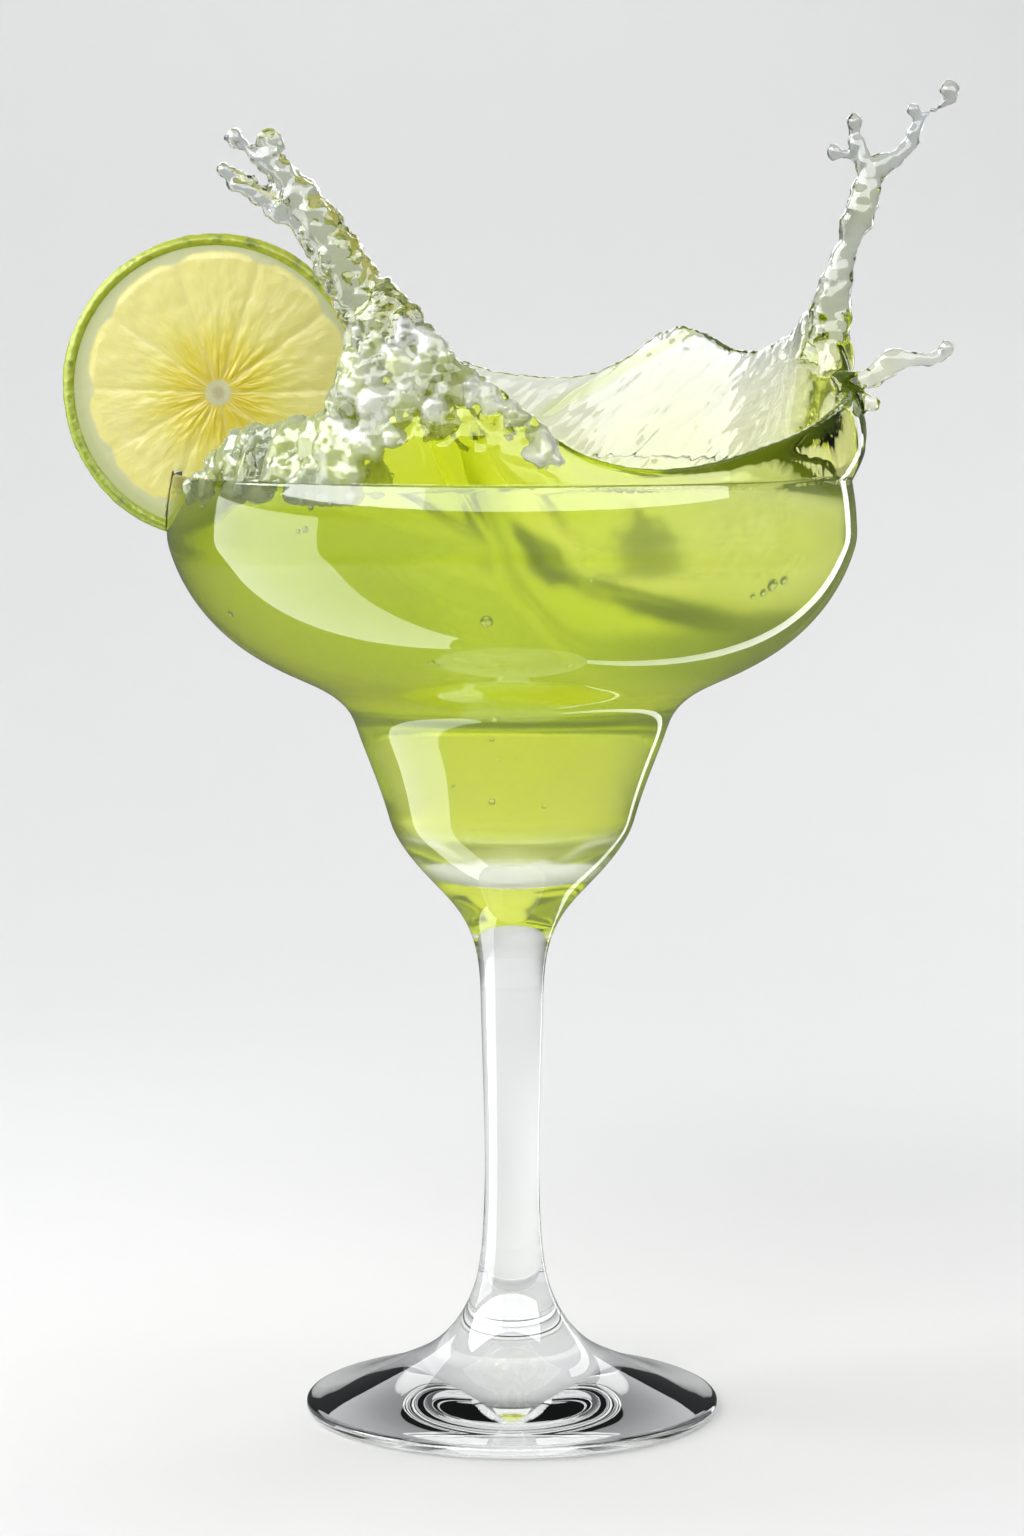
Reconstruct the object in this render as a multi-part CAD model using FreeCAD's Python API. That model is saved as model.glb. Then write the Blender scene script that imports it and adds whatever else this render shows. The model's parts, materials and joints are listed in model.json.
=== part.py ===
"""Margarita cocktail in a stemmed glass, with a citrus slice on the rim and the drink thrown up in a splash.

Three solids, in millimetres, +Z up. The origin is the centre of the foot, on the surface the glass stands on.
  glass         bowl, cup, stem and foot, one blown piece turned about Z
  drink         the liquid, its hollowed surface, the crown that rises past the rim and the jets on the crown
  citrus_slice  a round slice facing -Y, hung on the rim by a slit in its lower edge
The right of the glass is +X, the slice hangs at -X, and angles run anticlockwise from +X seen from above.
"""

import FreeCAD, Part

import bisect
import math
import os

Vec = FreeCAD.Vector

# ---------------------------------------------------------------- glass
GLASS_HEIGHT = 160.0
RIM_RADIUS = 59.0            # widest outer radius, just under the lip
LIP_INSET = 0.2              # the lip's outer radius is this much less than the widest
LIP_THICKNESS = 2.0
WALL = 1.7
WIDEST_BELOW_LIP = 4.5
WAIST_RADIUS = 27.6          # outer radius where the wide bowl meets the cup
WAIST_HEIGHT = 121.5
CUP_RADIUS = 20.6            # outer radius at the cup's lower shoulder
CUP_HEIGHT = 102.0
CUP_FLOOR_HEIGHT = 97.4      # lowest inside point of the cup, whose floor is a shallow dish
CUP_FLOOR_RADIUS = 3.0       # level middle of that dish
CUP_DISH_RISE = 6.0          # how far the dish climbs to the cup's inner corner
STEM_TOP_HEIGHT = 83.0
STEM_TOP_RADIUS = 6.9
STEM_RADIUS = 4.8            # at its thinnest
STEM_THIN_HEIGHT = 49.0
FLARE_HEIGHT = 21.5          # where the stem starts to open into the foot
FLARE_RADIUS = 6.6
FOOT_RADIUS = 36.0
FOOT_EDGE = 2.2              # thickness of the foot's rounded edge
FOOT_RING = 5.0              # width of the flat ring it stands on
PUNT_RISE = 1.8              # hollow under the foot

# Stations of the bowl between the waist and the widest radius, as shares of that width and height.
BOWL_SHAPE = ((0.08, 0.085), (0.34, 0.215), (0.66, 0.392), (0.885, 0.635), (0.978, 0.82))
# Stations of the cup between its shoulder and the waist, as shares.
CUP_SHAPE = ((0.12, 0.13), (0.48, 0.52), (0.86, 0.87))
# Stations between the cup's shoulder and the top of the stem, as shares.
UNDERCUP_SHAPE = ((0.91, 0.88), (0.555, 0.55), (0.155, 0.222))
# Stations of the dish inside the cup, as shares of the cup's inner radius.
DISH_SHAPE = (0.965, 0.8, 0.5)
# Stations of the foot's upper side between the flare and the edge, as shares.
FOOT_SHAPE = ((0.11, 0.67), (0.26, 0.45), (0.39, 0.335), (0.63, 0.18), (0.86, 0.045))

# ---------------------------------------------------------------- drink
FILL_GAP = 1.5               # the drink leaves the glass this far under the lip
HOLLOW_X = 15.0              # lowest point of the hollow in the surface
HOLLOW_Y = -4.0
HOLLOW_DEPTH = 17.0          # below the lip
HOLLOW_FLAT = 4.0            # radius of the level spot at its bottom
SPAN_STEPS = 96              # control points round the glass
SPLINE_DEGREE = 3
FLAT_TOLERANCE = 0.001       # for sewing the drink's four faces

# The crown round the rim: angle, height of its edge above the lip, how far the edge leans out past the
# glass's inside, how far its outer side bulges, thickness of the edge, and how steeply the hollow's side
# climbs to it (under 1 is a full shoulder of liquid, and 8 a thin upright sheet).
CROWN = (
    (0, 19, 1.6, 3.4, 3.4, 9.0),
    (12, 31, -0.6, 2.4, 4.4, 8.0),
    (26, 27, -0.8, 1.2, 2.2, 6.0),
    (42, 23.5, 0.4, 0.4, 1.8, 5.0),
    (58, 28, 0.8, 0.2, 2.0, 4.5),
    (74, 19.5, 0.2, 0.2, 2.2, 4.5),
    (92, 19.5, 0.0, 0.2, 2.4, 4.0),
    (106, 23, -0.6, 0.2, 3.0, 3.2),
    (128, 16, -1.4, 0.0, 3.6, 2.2),
    (152, 8, -2.4, 0.0, 4.0, 1.2),
    (176, 3, -3.4, 0.0, 4.2, 0.75),
    (194, 4, -3.4, 0.0, 4.2, 0.75),
    (210, 10.5, -2.8, 0.6, 6.0, 0.9),
    (226, 12, -2.8, 0.6, 6.5, 1.2),
    (235, 15, -3.4, 0.6, 6.5, 1.6),
    (243, 36, -4.4, 1.0, 6.0, 2.4),
    (250, 33, -4.0, 1.0, 5.6, 2.8),
    (258, 25, -3.0, 1.0, 5.0, 3.2),
    (269, 17.5, -2.2, 0.6, 4.2, 4.0),
    (281, 8.5, -1.6, 0.2, 3.6, 4.5),
    (297, 5.5, -1.4, 0.2, 3.4, 5.0),
    (320, 9, -1.0, 0.6, 3.2, 6.0),
    (342, 14, 0.6, 2.2, 3.2, 8.0),
)

# Jets. Each has its angle on the crown, and its stations are (x, y, z, radius) from the middle of the crown's
# edge at that angle. A ball of the last number stands at the end of each thread.
LEFT_ANGLE = 243
LEFT_THREADS = (
    (((1.0, 2.0, -11.0, 4.5), (-2.4, 1.0, -2.0, 4.2), (-6.8, 0, 5.4, 3.8), (-11.6, 0, 13.2, 2.7), (-15.4, 0, 17.2, 1.9),
      (-17.8, 0, 19.2, 1.2), (-21.8, 0, 22.2, 1.2)), 1.6),
    (((-16.6, 0, 18.2, 1.6), (-16.2, 0, 21.2, 1.4)), 2.1),
    (((-7.8, 0, 5.0, 2.0), (-12.3, 0, 8.8, 1.3), (-15.2, 0, 11.2, 1.4), (-18.4, 0, 13.4, 1.6), (-21.0, 0, 15.0, 1.5)), 1.6),
    (((-21.0, 0, 15.0, 1.0), (-23.5, 0, 17.3, 0.5)), 1.25),
)
RIGHT_ANGLE = 12
RIGHT_THREADS = (
    (((0.6, -0.6, -10.0, 5.0), (1.8, -1.4, -2.5, 3.7), (2.4, -2.2, 2.0, 3.2), (3.6, -2.6, 6.2, 2.3), (5.2, -2.8, 11.0, 1.9),
      (6.9, -3.0, 16.4, 2.8), (8.2, -3.2, 20.4, 2.3), (9.4, -3.2, 23.4, 2.0)), 2.0),
    (((9.4, -3.2, 23.0, 1.9), (12.0, -3.4, 25.2, 1.5), (15.4, -3.4, 28.0, 0.95), (16.3, -3.4, 30.4, 1.2),
      (17.6, -3.2, 32.6, 0.8), (22.4, -3.0, 37.6, 0.75)), 1.4),
    (((17.2, -3.3, 32.0, 0.8), (16.0, -3.4, 33.8, 0.8)), 1.15),
    (((8.8, -3.2, 22.6, 1.8), (7.6, -3.0, 25.6, 1.2), (6.4, -2.8, 28.2, 0.9), (6.1, -2.6, 32.0, 0.75)), 1.45),
    (((6.9, -2.9, 26.8, 0.9), (4.4, -2.8, 26.2, 0.7), (2.6, -2.8, 26.6, 0.8)), 1.35),
)
SIDE_ANGLE = 0
SIDE_THREADS = (
    (((-1.5, 0, -1.2, 2.4), (1.6, 0, -0.2, 1.7), (4.8, 0, 0.6, 1.7), (7.8, 0, 3.0, 1.8), (11.6, 0, 3.6, 1.15),
      (13.8, 0, 3.4, 1.0), (17.4, 0, 5.2, 0.75)), 1.2),
    (((-1.0, -1.5, -1.0, 1.6), (2.4, -1.8, -2.6, 1.0), (4.8, -2.0, -4.0, 1.0)), 1.45),
)

# ---------------------------------------------------------------- citrus slice
SLICE_RADIUS = 26.2
SLICE_THICKNESS = 6.0
SLICE_EDGE = 0.5             # softened edge of the rind
SLICE_INSET = 7.3            # its centre is this far inside the middle of the lip
SLICE_BITE = 8.5             # how far its lowest edge hangs below the lip
SLIT_CLEARANCE = 0.15        # round the glass wall in the slit
SLIT_DEPTH = 25.0            # how far down the wall the slit is cleared
SLIT_STEPS = 24              # stations down each side of the slit


# ---------------------------------------------------------------- helpers
def flat(r, z):
    """A point of a turned profile."""
    return Vec(r, 0, z)


def shares(low, high, table):
    """Stations between two (r, z) corners, given as shares of the way from low to high."""
    return [flat(low[0] + (high[0] - low[0]) * a, low[1] + (high[1] - low[1]) * b) for a, b in table]


def curve_through(points):
    """A smooth curve through the points."""
    curve = Part.BSplineCurve()
    curve.interpolate(points)
    return curve


def point_at(curve, height):
    """The point of a profile at a height."""
    level = Part.LineSegment(Vec(0, 0, height), Vec(RIM_RADIUS * 2, 0, height))
    spot = curve.intersect(level)[0]
    return Vec(spot.X, spot.Y, spot.Z)


def turned(edges):
    """The solid that a closed profile in XZ makes when it is turned about Z."""
    return Part.Face(Part.Wire(edges)).revolve(Vec(0, 0, 0), Vec(0, 0, 1), 360)


def offset_in(curve, point, by):
    """The point moved by a distance square to the curve, towards the axis side and the bowl's inside."""
    way = curve.tangent(curve.parameter(point))[0]
    normal = Vec(-abs(way.z), 0, abs(way.x))
    return point + normal * by


def periodic_value(angle, column):
    """A column of CROWN at an angle, run smoothly from station to station round the ring."""
    angles = [row[0] for row in CROWN]
    count = len(CROWN)
    at = bisect.bisect_right(angles, angle % 360) - 1
    spots = [(at + k) % count for k in (-1, 0, 1, 2)]
    turns = [angles[spots[0]], angles[spots[1]], angles[spots[2]], angles[spots[3]]]
    for k in range(1, 4):
        while turns[k] < turns[k - 1]:
            turns[k] += 360
    values = [CROWN[s][column] for s in spots]
    here = angle % 360
    while here < turns[1]:
        here += 360
    span = turns[2] - turns[1]
    share = (here - turns[1]) / span
    slope_in = (values[2] - values[0]) / (turns[2] - turns[0]) * span
    slope_out = (values[3] - values[1]) / (turns[3] - turns[1]) * span
    square, cube = share**2, share**3
    return (
        (2 * cube - 3 * square + 1) * values[1]
        + (cube - 2 * square + share) * slope_in
        + (3 * square - 2 * cube) * values[2]
        + (cube - square) * slope_out
    )


# ---------------------------------------------------------------- glass
def lip_middle():
    """Radius of the middle of the lip."""
    return RIM_RADIUS - LIP_INSET - LIP_THICKNESS / 2


def inside_radius():
    """Inside radius of the glass at the lip, where the drink leaves it."""
    return RIM_RADIUS - LIP_INSET - LIP_THICKNESS


def lip_height():
    """Height at which the lip's round begins."""
    return GLASS_HEIGHT - LIP_THICKNESS / 2


def outer_bowl():
    """Stations of the outside from the lip down to the cup's shoulder."""
    widest = (RIM_RADIUS, GLASS_HEIGHT - WIDEST_BELOW_LIP)
    waist = (WAIST_RADIUS, WAIST_HEIGHT)
    shoulder = (CUP_RADIUS, CUP_HEIGHT)
    bowl = shares(waist, widest, BOWL_SHAPE)
    cup = shares(shoulder, waist, CUP_SHAPE)
    return [flat(*widest), *reversed(bowl), flat(*waist), *reversed(cup), flat(*shoulder)]


def bowl_curve():
    """The outside from the lip down to the cup's shoulder."""
    return curve_through([flat(RIM_RADIUS - LIP_INSET, lip_height()), *outer_bowl()])


def outer_curve():
    """The whole outside, from the lip down to the foot's edge."""
    top = flat(RIM_RADIUS - LIP_INSET, lip_height())
    stem_top = (STEM_TOP_RADIUS, STEM_TOP_HEIGHT)
    flare = (FLARE_RADIUS, FLARE_HEIGHT)
    edge = (FOOT_RADIUS - FOOT_EDGE / 2, FOOT_EDGE)
    under_cup = shares(stem_top, (CUP_RADIUS, CUP_HEIGHT), UNDERCUP_SHAPE)
    foot = [flat(flare[0] + (edge[0] - flare[0]) * a, edge[1] + (flare[1] - edge[1]) * b) for a, b in FOOT_SHAPE]
    stem_upper = flat((STEM_TOP_RADIUS * 0.3 + STEM_RADIUS * 0.7), STEM_THIN_HEIGHT * 0.35 + STEM_TOP_HEIGHT * 0.65)
    stem_lower = flat((FLARE_RADIUS * 0.2 + STEM_RADIUS * 0.8), STEM_THIN_HEIGHT * 0.3 + FLARE_HEIGHT * 0.7)
    points = [top, *outer_bowl(), *under_cup, flat(*stem_top), stem_upper]
    points += [flat(STEM_RADIUS, STEM_THIN_HEIGHT), stem_lower, flat(*flare), *foot, flat(*edge)]
    return curve_through(points)


def inner_curve():
    """The inside below the drink's edge, down to the flat middle of the cup's floor."""
    outside = bowl_curve()
    points = [flat(inside_radius(), GLASS_HEIGHT - FILL_GAP)]
    points += [offset_in(outside, p, WALL) for p in outer_bowl()[1:-1]]
    corner = CUP_RADIUS - WALL
    points += [flat(corner * share, CUP_FLOOR_HEIGHT + CUP_DISH_RISE * share**2) for share in DISH_SHAPE]
    points.append(flat(CUP_FLOOR_RADIUS, CUP_FLOOR_HEIGHT))
    return curve_through(points)


def make_glass():
    """The glass, turned from one closed profile."""
    outside, inside = outer_curve(), inner_curve()
    outer_top = flat(RIM_RADIUS - LIP_INSET, lip_height())
    inner_top = flat(inside_radius(), lip_height())
    lip = Part.Arc(outer_top, flat(lip_middle(), GLASS_HEIGHT), inner_top).toShape()
    edge_top = flat(FOOT_RADIUS - FOOT_EDGE / 2, FOOT_EDGE)
    edge_bottom = flat(FOOT_RADIUS - FOOT_EDGE / 2, 0)
    edge = Part.Arc(edge_top, flat(FOOT_RADIUS, FOOT_EDGE / 2), edge_bottom).toShape()
    ring_inner = flat(FOOT_RADIUS - FOOT_EDGE / 2 - FOOT_RING, 0)
    punt_top = flat(0, PUNT_RISE)
    punt_side = flat(ring_inner.x * 0.55, PUNT_RISE * 0.75)
    punt = Part.Arc(ring_inner, punt_side, punt_top).toShape()
    drink_edge = flat(inside_radius(), GLASS_HEIGHT - FILL_GAP)
    floor_corner = flat(CUP_FLOOR_RADIUS, CUP_FLOOR_HEIGHT)
    floor_middle = flat(0, CUP_FLOOR_HEIGHT)
    edges = [
        lip,
        Part.LineSegment(inner_top, drink_edge).toShape(),
        inside.toShape(),
        Part.LineSegment(floor_corner, floor_middle).toShape(),
        Part.LineSegment(floor_middle, punt_top).toShape(),
        punt,
        Part.LineSegment(ring_inner, edge_bottom).toShape(),
        edge,
        outside.toShape(),
    ]
    return turned(Part.__sortEdges__(edges))


# ---------------------------------------------------------------- drink
def crown_edge(angle):
    """The middle of the crown's edge at an angle."""
    radius = inside_radius() + periodic_value(angle, 2)
    turn = math.radians(angle)
    return Vec(radius * math.cos(turn), radius * math.sin(turn), GLASS_HEIGHT + periodic_value(angle, 1))


def free_profile(angle):
    """Control points of the drink's free side at an angle, from the glass, over the edge and down the hollow."""
    height, lean, bulge, thick, climb = (periodic_value(angle, column) for column in range(1, 6))
    inside, turn = inside_radius(), math.radians(angle)
    out = Vec(math.cos(turn), math.sin(turn), 0)
    hollow = Vec(HOLLOW_X, HOLLOW_Y, GLASS_HEIGHT - HOLLOW_DEPTH)
    start = GLASS_HEIGHT - FILL_GAP
    rise = height + FILL_GAP
    points = [out * inside + Vec(0, 0, start), out * inside + Vec(0, 0, start + FILL_GAP * 0.7)]
    for share, swell in ((0.22, 0.4), (0.45, 1.0), (0.72, 0.7)):
        points.append(out * (inside + lean * share + bulge * swell) + Vec(0, 0, start + rise * share))
    edge = inside + lean
    points.append(out * (edge + thick * 0.1) + Vec(0, 0, start + rise - thick * 0.35))
    points.append(out * (edge - thick * 0.5) + Vec(0, 0, start + rise + thick * 0.25))
    inner = out * (edge - thick) + Vec(0, 0, start + rise - thick * 0.6)
    points.append(inner)
    for share in (0.96, 0.88, 0.76, 0.6, 0.42, 0.22):
        place = hollow + (inner - hollow) * share
        place.z = hollow.z + (inner.z - hollow.z) * share**climb
        points.append(place)
    ring = Vec(HOLLOW_FLAT * math.cos(turn), HOLLOW_FLAT * math.sin(turn), 0)
    points.append(hollow + ring * 2)
    points.append(hollow + ring)
    return points


def ring_surface(columns, knots, mults, degree):
    """A surface closed round the glass from columns of control points, one for each angle."""
    count = len(columns)
    surface = Part.BSplineSurface()
    surface.buildFromPolesMultsKnots(
        columns, [1] * (count + 1), mults, list(range(count + 1)), knots, True, False, SPLINE_DEGREE, degree
    )
    return surface


def end_disc(face, height):
    """The flat disc that closes a ring surface at a height."""
    edges = [e for e in face.Edges if abs(e.BoundBox.ZMin - height) < 0.01 and abs(e.BoundBox.ZMax - height) < 0.01]
    return Part.Face(Part.Wire(edges[0]))


def make_liquid():
    """The drink without its jets: the glass's inside up to its edge, then the crown and the hollow."""
    # Control points on a circle pull a cubic ring inwards by this share, so they stand out by it.
    stand_out = 3 / (2 + math.cos(2 * math.pi / SPAN_STEPS))
    angles = [360.0 * k / SPAN_STEPS for k in range(SPAN_STEPS)]
    inside = inner_curve()
    wall_columns = []
    free_columns = []
    centre = Vec(HOLLOW_X, HOLLOW_Y, 0)
    for angle in angles:
        turn = math.radians(angle)
        c, s = math.cos(turn) * stand_out, math.sin(turn) * stand_out
        wall_columns.append([Vec(p.x * c, p.x * s, p.z) for p in inside.getPoles()])
        profile = free_profile(angle)
        column = [Vec(p.x * stand_out, p.y * stand_out, p.z) for p in profile[:2]] + profile[2:-2]
        for p in profile[-2:]:
            out = (p - centre) * stand_out
            column.append(Vec(centre.x + out.x, centre.y + out.y, p.z))
        free_columns.append(column)
    wall = ring_surface(wall_columns, inside.getKnots(), inside.getMultiplicities(), inside.Degree).toShape()
    spans = len(free_columns[0]) - SPLINE_DEGREE
    mults = [SPLINE_DEGREE + 1] + [1] * (spans - 1) + [SPLINE_DEGREE + 1]
    free = ring_surface(free_columns, list(range(spans + 1)), mults, SPLINE_DEGREE).toShape()
    faces = [wall, free, end_disc(wall, CUP_FLOOR_HEIGHT), end_disc(free, GLASS_HEIGHT - HOLLOW_DEPTH)]
    shell = Part.makeShell([f for shape in faces for f in shape.Faces])
    shell.sewShape(FLAT_TOLERANCE)
    solid = Part.makeSolid(Part.makeShell(shell.Faces))
    if solid.Volume < 0:
        solid.reverse()
    return solid


def thread(stations, root):
    """A smooth round thread through (x, y, z, radius) stations measured from the root."""
    places = [root + Vec(*s[:3]) for s in stations]
    path = Part.BSplineCurve()
    path.interpolate(places)
    rings = []
    for place, station in zip(places, stations):
        way = path.tangent(path.parameter(place))[0]
        rings.append(Part.Wire(Part.Circle(place, way, station[3]).toShape()))
    return Part.makeLoft(rings, True, False)


def jets(angle, threads):
    """The threads that stand on the crown at an angle, each with the drop at its end."""
    edge = crown_edge(angle)
    thick = periodic_value(angle, 4)
    root = edge - Vec(edge.x, edge.y, 0).normalize() * (thick / 2)
    pieces = []
    for stations, drop in threads:
        pieces.append(thread(stations, root))
        pieces.append(Part.makeSphere(drop, root + Vec(*stations[-1][:3])))
    return pieces


def make_drink():
    """The whole drink, cut round the slice that dips into it."""
    liquid = make_liquid()
    standing = ((LEFT_ANGLE, LEFT_THREADS), (RIGHT_ANGLE, RIGHT_THREADS), (SIDE_ANGLE, SIDE_THREADS))
    for angle, threads in standing:
        for piece in jets(angle, threads):
            liquid = liquid.fuse(piece)
    return liquid.cut(slice_disc())


# ---------------------------------------------------------------- citrus slice
def slice_disc():
    """The slice before its slit is cut."""
    centre = Vec(SLICE_INSET - lip_middle(), SLICE_THICKNESS / 2, GLASS_HEIGHT - SLICE_BITE + SLICE_RADIUS)
    disc = Part.makeCylinder(SLICE_RADIUS, SLICE_THICKNESS, centre, Vec(0, -1, 0))
    round_edges = [e for e in disc.Edges if isinstance(e.Curve, Part.Circle)]
    return disc.makeFillet(SLICE_EDGE, round_edges)


def make_slice():
    """The slice, with a slit that the glass wall stands in."""
    gap = SLIT_CLEARANCE
    top = GLASS_HEIGHT + gap
    widest = flat(RIM_RADIUS, GLASS_HEIGHT - WIDEST_BELOW_LIP)
    outside, inside = bowl_curve(), inner_curve()
    outer, inner = [], []
    for k in range(SLIT_STEPS + 1):
        height = GLASS_HEIGHT - FILL_GAP - SLIT_DEPTH * k / SLIT_STEPS
        outer.append(point_at(outside, height) + Vec(gap, 0, 0))
        inner.append(point_at(inside, height) - Vec(gap, 0, 0))
    corners = [flat(widest.x + gap, top), *outer, *reversed(inner), flat(inside_radius() - gap, top)]
    slit = turned(Part.makePolygon([*corners, corners[0]]).Edges)
    return slice_disc().cut(slit)


# ---------------------------------------------------------------- output
def main():
    """Builds and writes each solid."""
    os.makedirs("parts", exist_ok=True)
    nodes = {"glass": make_glass(), "drink": make_drink(), "citrus_slice": make_slice()}
    for name, shape in nodes.items():
        print(name, shape.ShapeType, len(shape.Solids), "valid", shape.isValid(), "volume", round(shape.Volume, 1))
        box = shape.BoundBox
        print("   ", [round(v, 2) for v in (box.XMin, box.YMin, box.ZMin, box.XMax, box.YMax, box.ZMax)])
        shape.exportStep(f"parts/{name}.step")


main()
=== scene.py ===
"""Margarita cocktail: the finish of the glass, the splashing drink, its bubbles and the citrus slice.

Every length here is in metres, and MM turns a size in millimetres into metres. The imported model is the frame:
+Z is up, the slice hangs at -X and its face looks towards -Y.
"""

import json
import logging
import math
from dataclasses import dataclass
from enum import Enum

import bmesh
import bpy
import numpy as np
from mathutils import Vector, noise
from mathutils.kdtree import KDTree
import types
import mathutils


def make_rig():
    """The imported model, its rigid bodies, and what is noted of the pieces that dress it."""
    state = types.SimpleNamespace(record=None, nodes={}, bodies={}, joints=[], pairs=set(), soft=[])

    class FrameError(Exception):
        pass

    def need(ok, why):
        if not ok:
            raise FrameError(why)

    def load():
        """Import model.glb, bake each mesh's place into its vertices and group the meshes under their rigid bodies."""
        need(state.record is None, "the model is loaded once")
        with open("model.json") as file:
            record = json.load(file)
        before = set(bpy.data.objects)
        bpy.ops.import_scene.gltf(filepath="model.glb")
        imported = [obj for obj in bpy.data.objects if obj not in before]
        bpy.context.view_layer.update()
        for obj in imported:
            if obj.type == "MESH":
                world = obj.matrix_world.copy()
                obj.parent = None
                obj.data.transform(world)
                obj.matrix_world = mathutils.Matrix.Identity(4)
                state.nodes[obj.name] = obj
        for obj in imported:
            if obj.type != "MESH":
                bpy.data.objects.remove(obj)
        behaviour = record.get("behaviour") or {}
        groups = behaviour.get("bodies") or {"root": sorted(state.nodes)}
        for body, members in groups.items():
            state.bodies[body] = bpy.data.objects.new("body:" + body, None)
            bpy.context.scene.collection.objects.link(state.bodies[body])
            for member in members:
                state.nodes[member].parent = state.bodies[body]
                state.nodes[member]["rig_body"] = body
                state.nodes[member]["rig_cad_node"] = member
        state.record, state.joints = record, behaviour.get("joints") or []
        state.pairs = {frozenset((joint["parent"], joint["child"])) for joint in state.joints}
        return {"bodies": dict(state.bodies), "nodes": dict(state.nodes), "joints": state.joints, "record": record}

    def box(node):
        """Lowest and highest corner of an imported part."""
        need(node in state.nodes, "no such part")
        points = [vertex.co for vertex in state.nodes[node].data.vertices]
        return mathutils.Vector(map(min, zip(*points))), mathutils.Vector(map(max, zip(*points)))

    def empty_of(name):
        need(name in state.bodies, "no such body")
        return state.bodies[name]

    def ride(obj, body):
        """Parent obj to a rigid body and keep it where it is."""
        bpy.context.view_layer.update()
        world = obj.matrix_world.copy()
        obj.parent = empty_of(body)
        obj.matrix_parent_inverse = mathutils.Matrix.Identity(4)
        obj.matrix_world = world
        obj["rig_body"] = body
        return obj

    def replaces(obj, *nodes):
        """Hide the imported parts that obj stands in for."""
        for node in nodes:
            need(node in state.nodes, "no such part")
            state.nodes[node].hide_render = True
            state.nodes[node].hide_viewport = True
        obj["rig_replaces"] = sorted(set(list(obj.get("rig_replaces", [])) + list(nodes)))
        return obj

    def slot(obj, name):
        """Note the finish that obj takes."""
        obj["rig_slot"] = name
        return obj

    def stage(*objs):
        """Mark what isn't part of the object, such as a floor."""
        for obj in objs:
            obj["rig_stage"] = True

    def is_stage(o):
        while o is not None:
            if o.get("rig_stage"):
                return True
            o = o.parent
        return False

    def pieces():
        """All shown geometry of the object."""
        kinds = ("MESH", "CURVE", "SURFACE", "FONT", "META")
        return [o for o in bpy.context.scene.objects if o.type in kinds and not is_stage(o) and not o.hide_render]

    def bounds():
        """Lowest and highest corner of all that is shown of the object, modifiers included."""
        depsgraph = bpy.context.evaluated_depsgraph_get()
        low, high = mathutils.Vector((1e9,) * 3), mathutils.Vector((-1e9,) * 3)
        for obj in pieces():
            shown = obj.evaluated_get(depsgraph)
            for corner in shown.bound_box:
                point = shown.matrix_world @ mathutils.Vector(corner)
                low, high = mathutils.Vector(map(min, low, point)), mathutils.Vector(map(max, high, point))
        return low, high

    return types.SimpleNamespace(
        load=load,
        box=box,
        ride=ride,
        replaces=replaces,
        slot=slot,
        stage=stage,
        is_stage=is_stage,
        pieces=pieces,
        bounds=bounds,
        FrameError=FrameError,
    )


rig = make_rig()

MM = 0.001
TURN = 2 * math.pi
LOG = logging.getLogger("margarita")
Colour = tuple[float, float, float]
Point = tuple[float, float, float]


# ---------------------------------------------------------------- shader nodes
class Value:
    """One shader socket, so that sums on sockets read as ordinary Python."""

    def __init__(self, graph: "Graph", socket: bpy.types.NodeSocket) -> None:
        """Wraps a socket of a graph."""
        self.graph = graph
        self.socket = socket

    def _math(self, operation: str, first: "Value | float", second: "Value | float" = 0.0) -> "Value":
        """Adds a Math node.

        Args:
            operation: The node's operation.
            first: Its first term.
            second: Its second term.

        Returns:
            The node's result.
        """
        return self.graph.node("ShaderNodeMath", {"operation": operation}, {0: first, 1: second})

    def __add__(self, other: "Value | float") -> "Value":
        """Adds two values."""
        return self._math("ADD", self, other)

    def __radd__(self, other: float) -> "Value":
        """Adds a value to a number."""
        return self._math("ADD", other, self)

    def __sub__(self, other: "Value | float") -> "Value":
        """Takes a value away."""
        return self._math("SUBTRACT", self, other)

    def __rsub__(self, other: float) -> "Value":
        """Takes this value away from a number."""
        return self._math("SUBTRACT", other, self)

    def __mul__(self, other: "Value | float") -> "Value":
        """Multiplies two values."""
        return self._math("MULTIPLY", self, other)

    def __rmul__(self, other: float) -> "Value":
        """Multiplies a number by this value."""
        return self._math("MULTIPLY", other, self)

    def __pow__(self, other: float) -> "Value":
        """Raises to a power."""
        return self._math("POWER", self, other)

    def function(self, operation: str, second: "Value | float" = 0.0) -> "Value":
        """Any other Math operation, such as SINE or MINIMUM."""
        return self._math(operation, self, second)

    def step(self, low: float, high: float) -> "Value":
        """A smooth step.

        Args:
            low: Where the step is still 0.
            high: Where it has reached 1.

        Returns:
            The step's height.
        """
        settings = {"interpolation_type": "SMOOTHSTEP"}
        inputs = {"Value": self, "From Min": low, "From Max": high}
        return self.graph.node("ShaderNodeMapRange", settings, inputs)


Input = Value | float | tuple[float, ...]


def hypotenuse(across: Value, up: Value) -> Value:
    """The length of a step across and a step up."""
    return (across * across + up * up) ** 0.5


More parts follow.
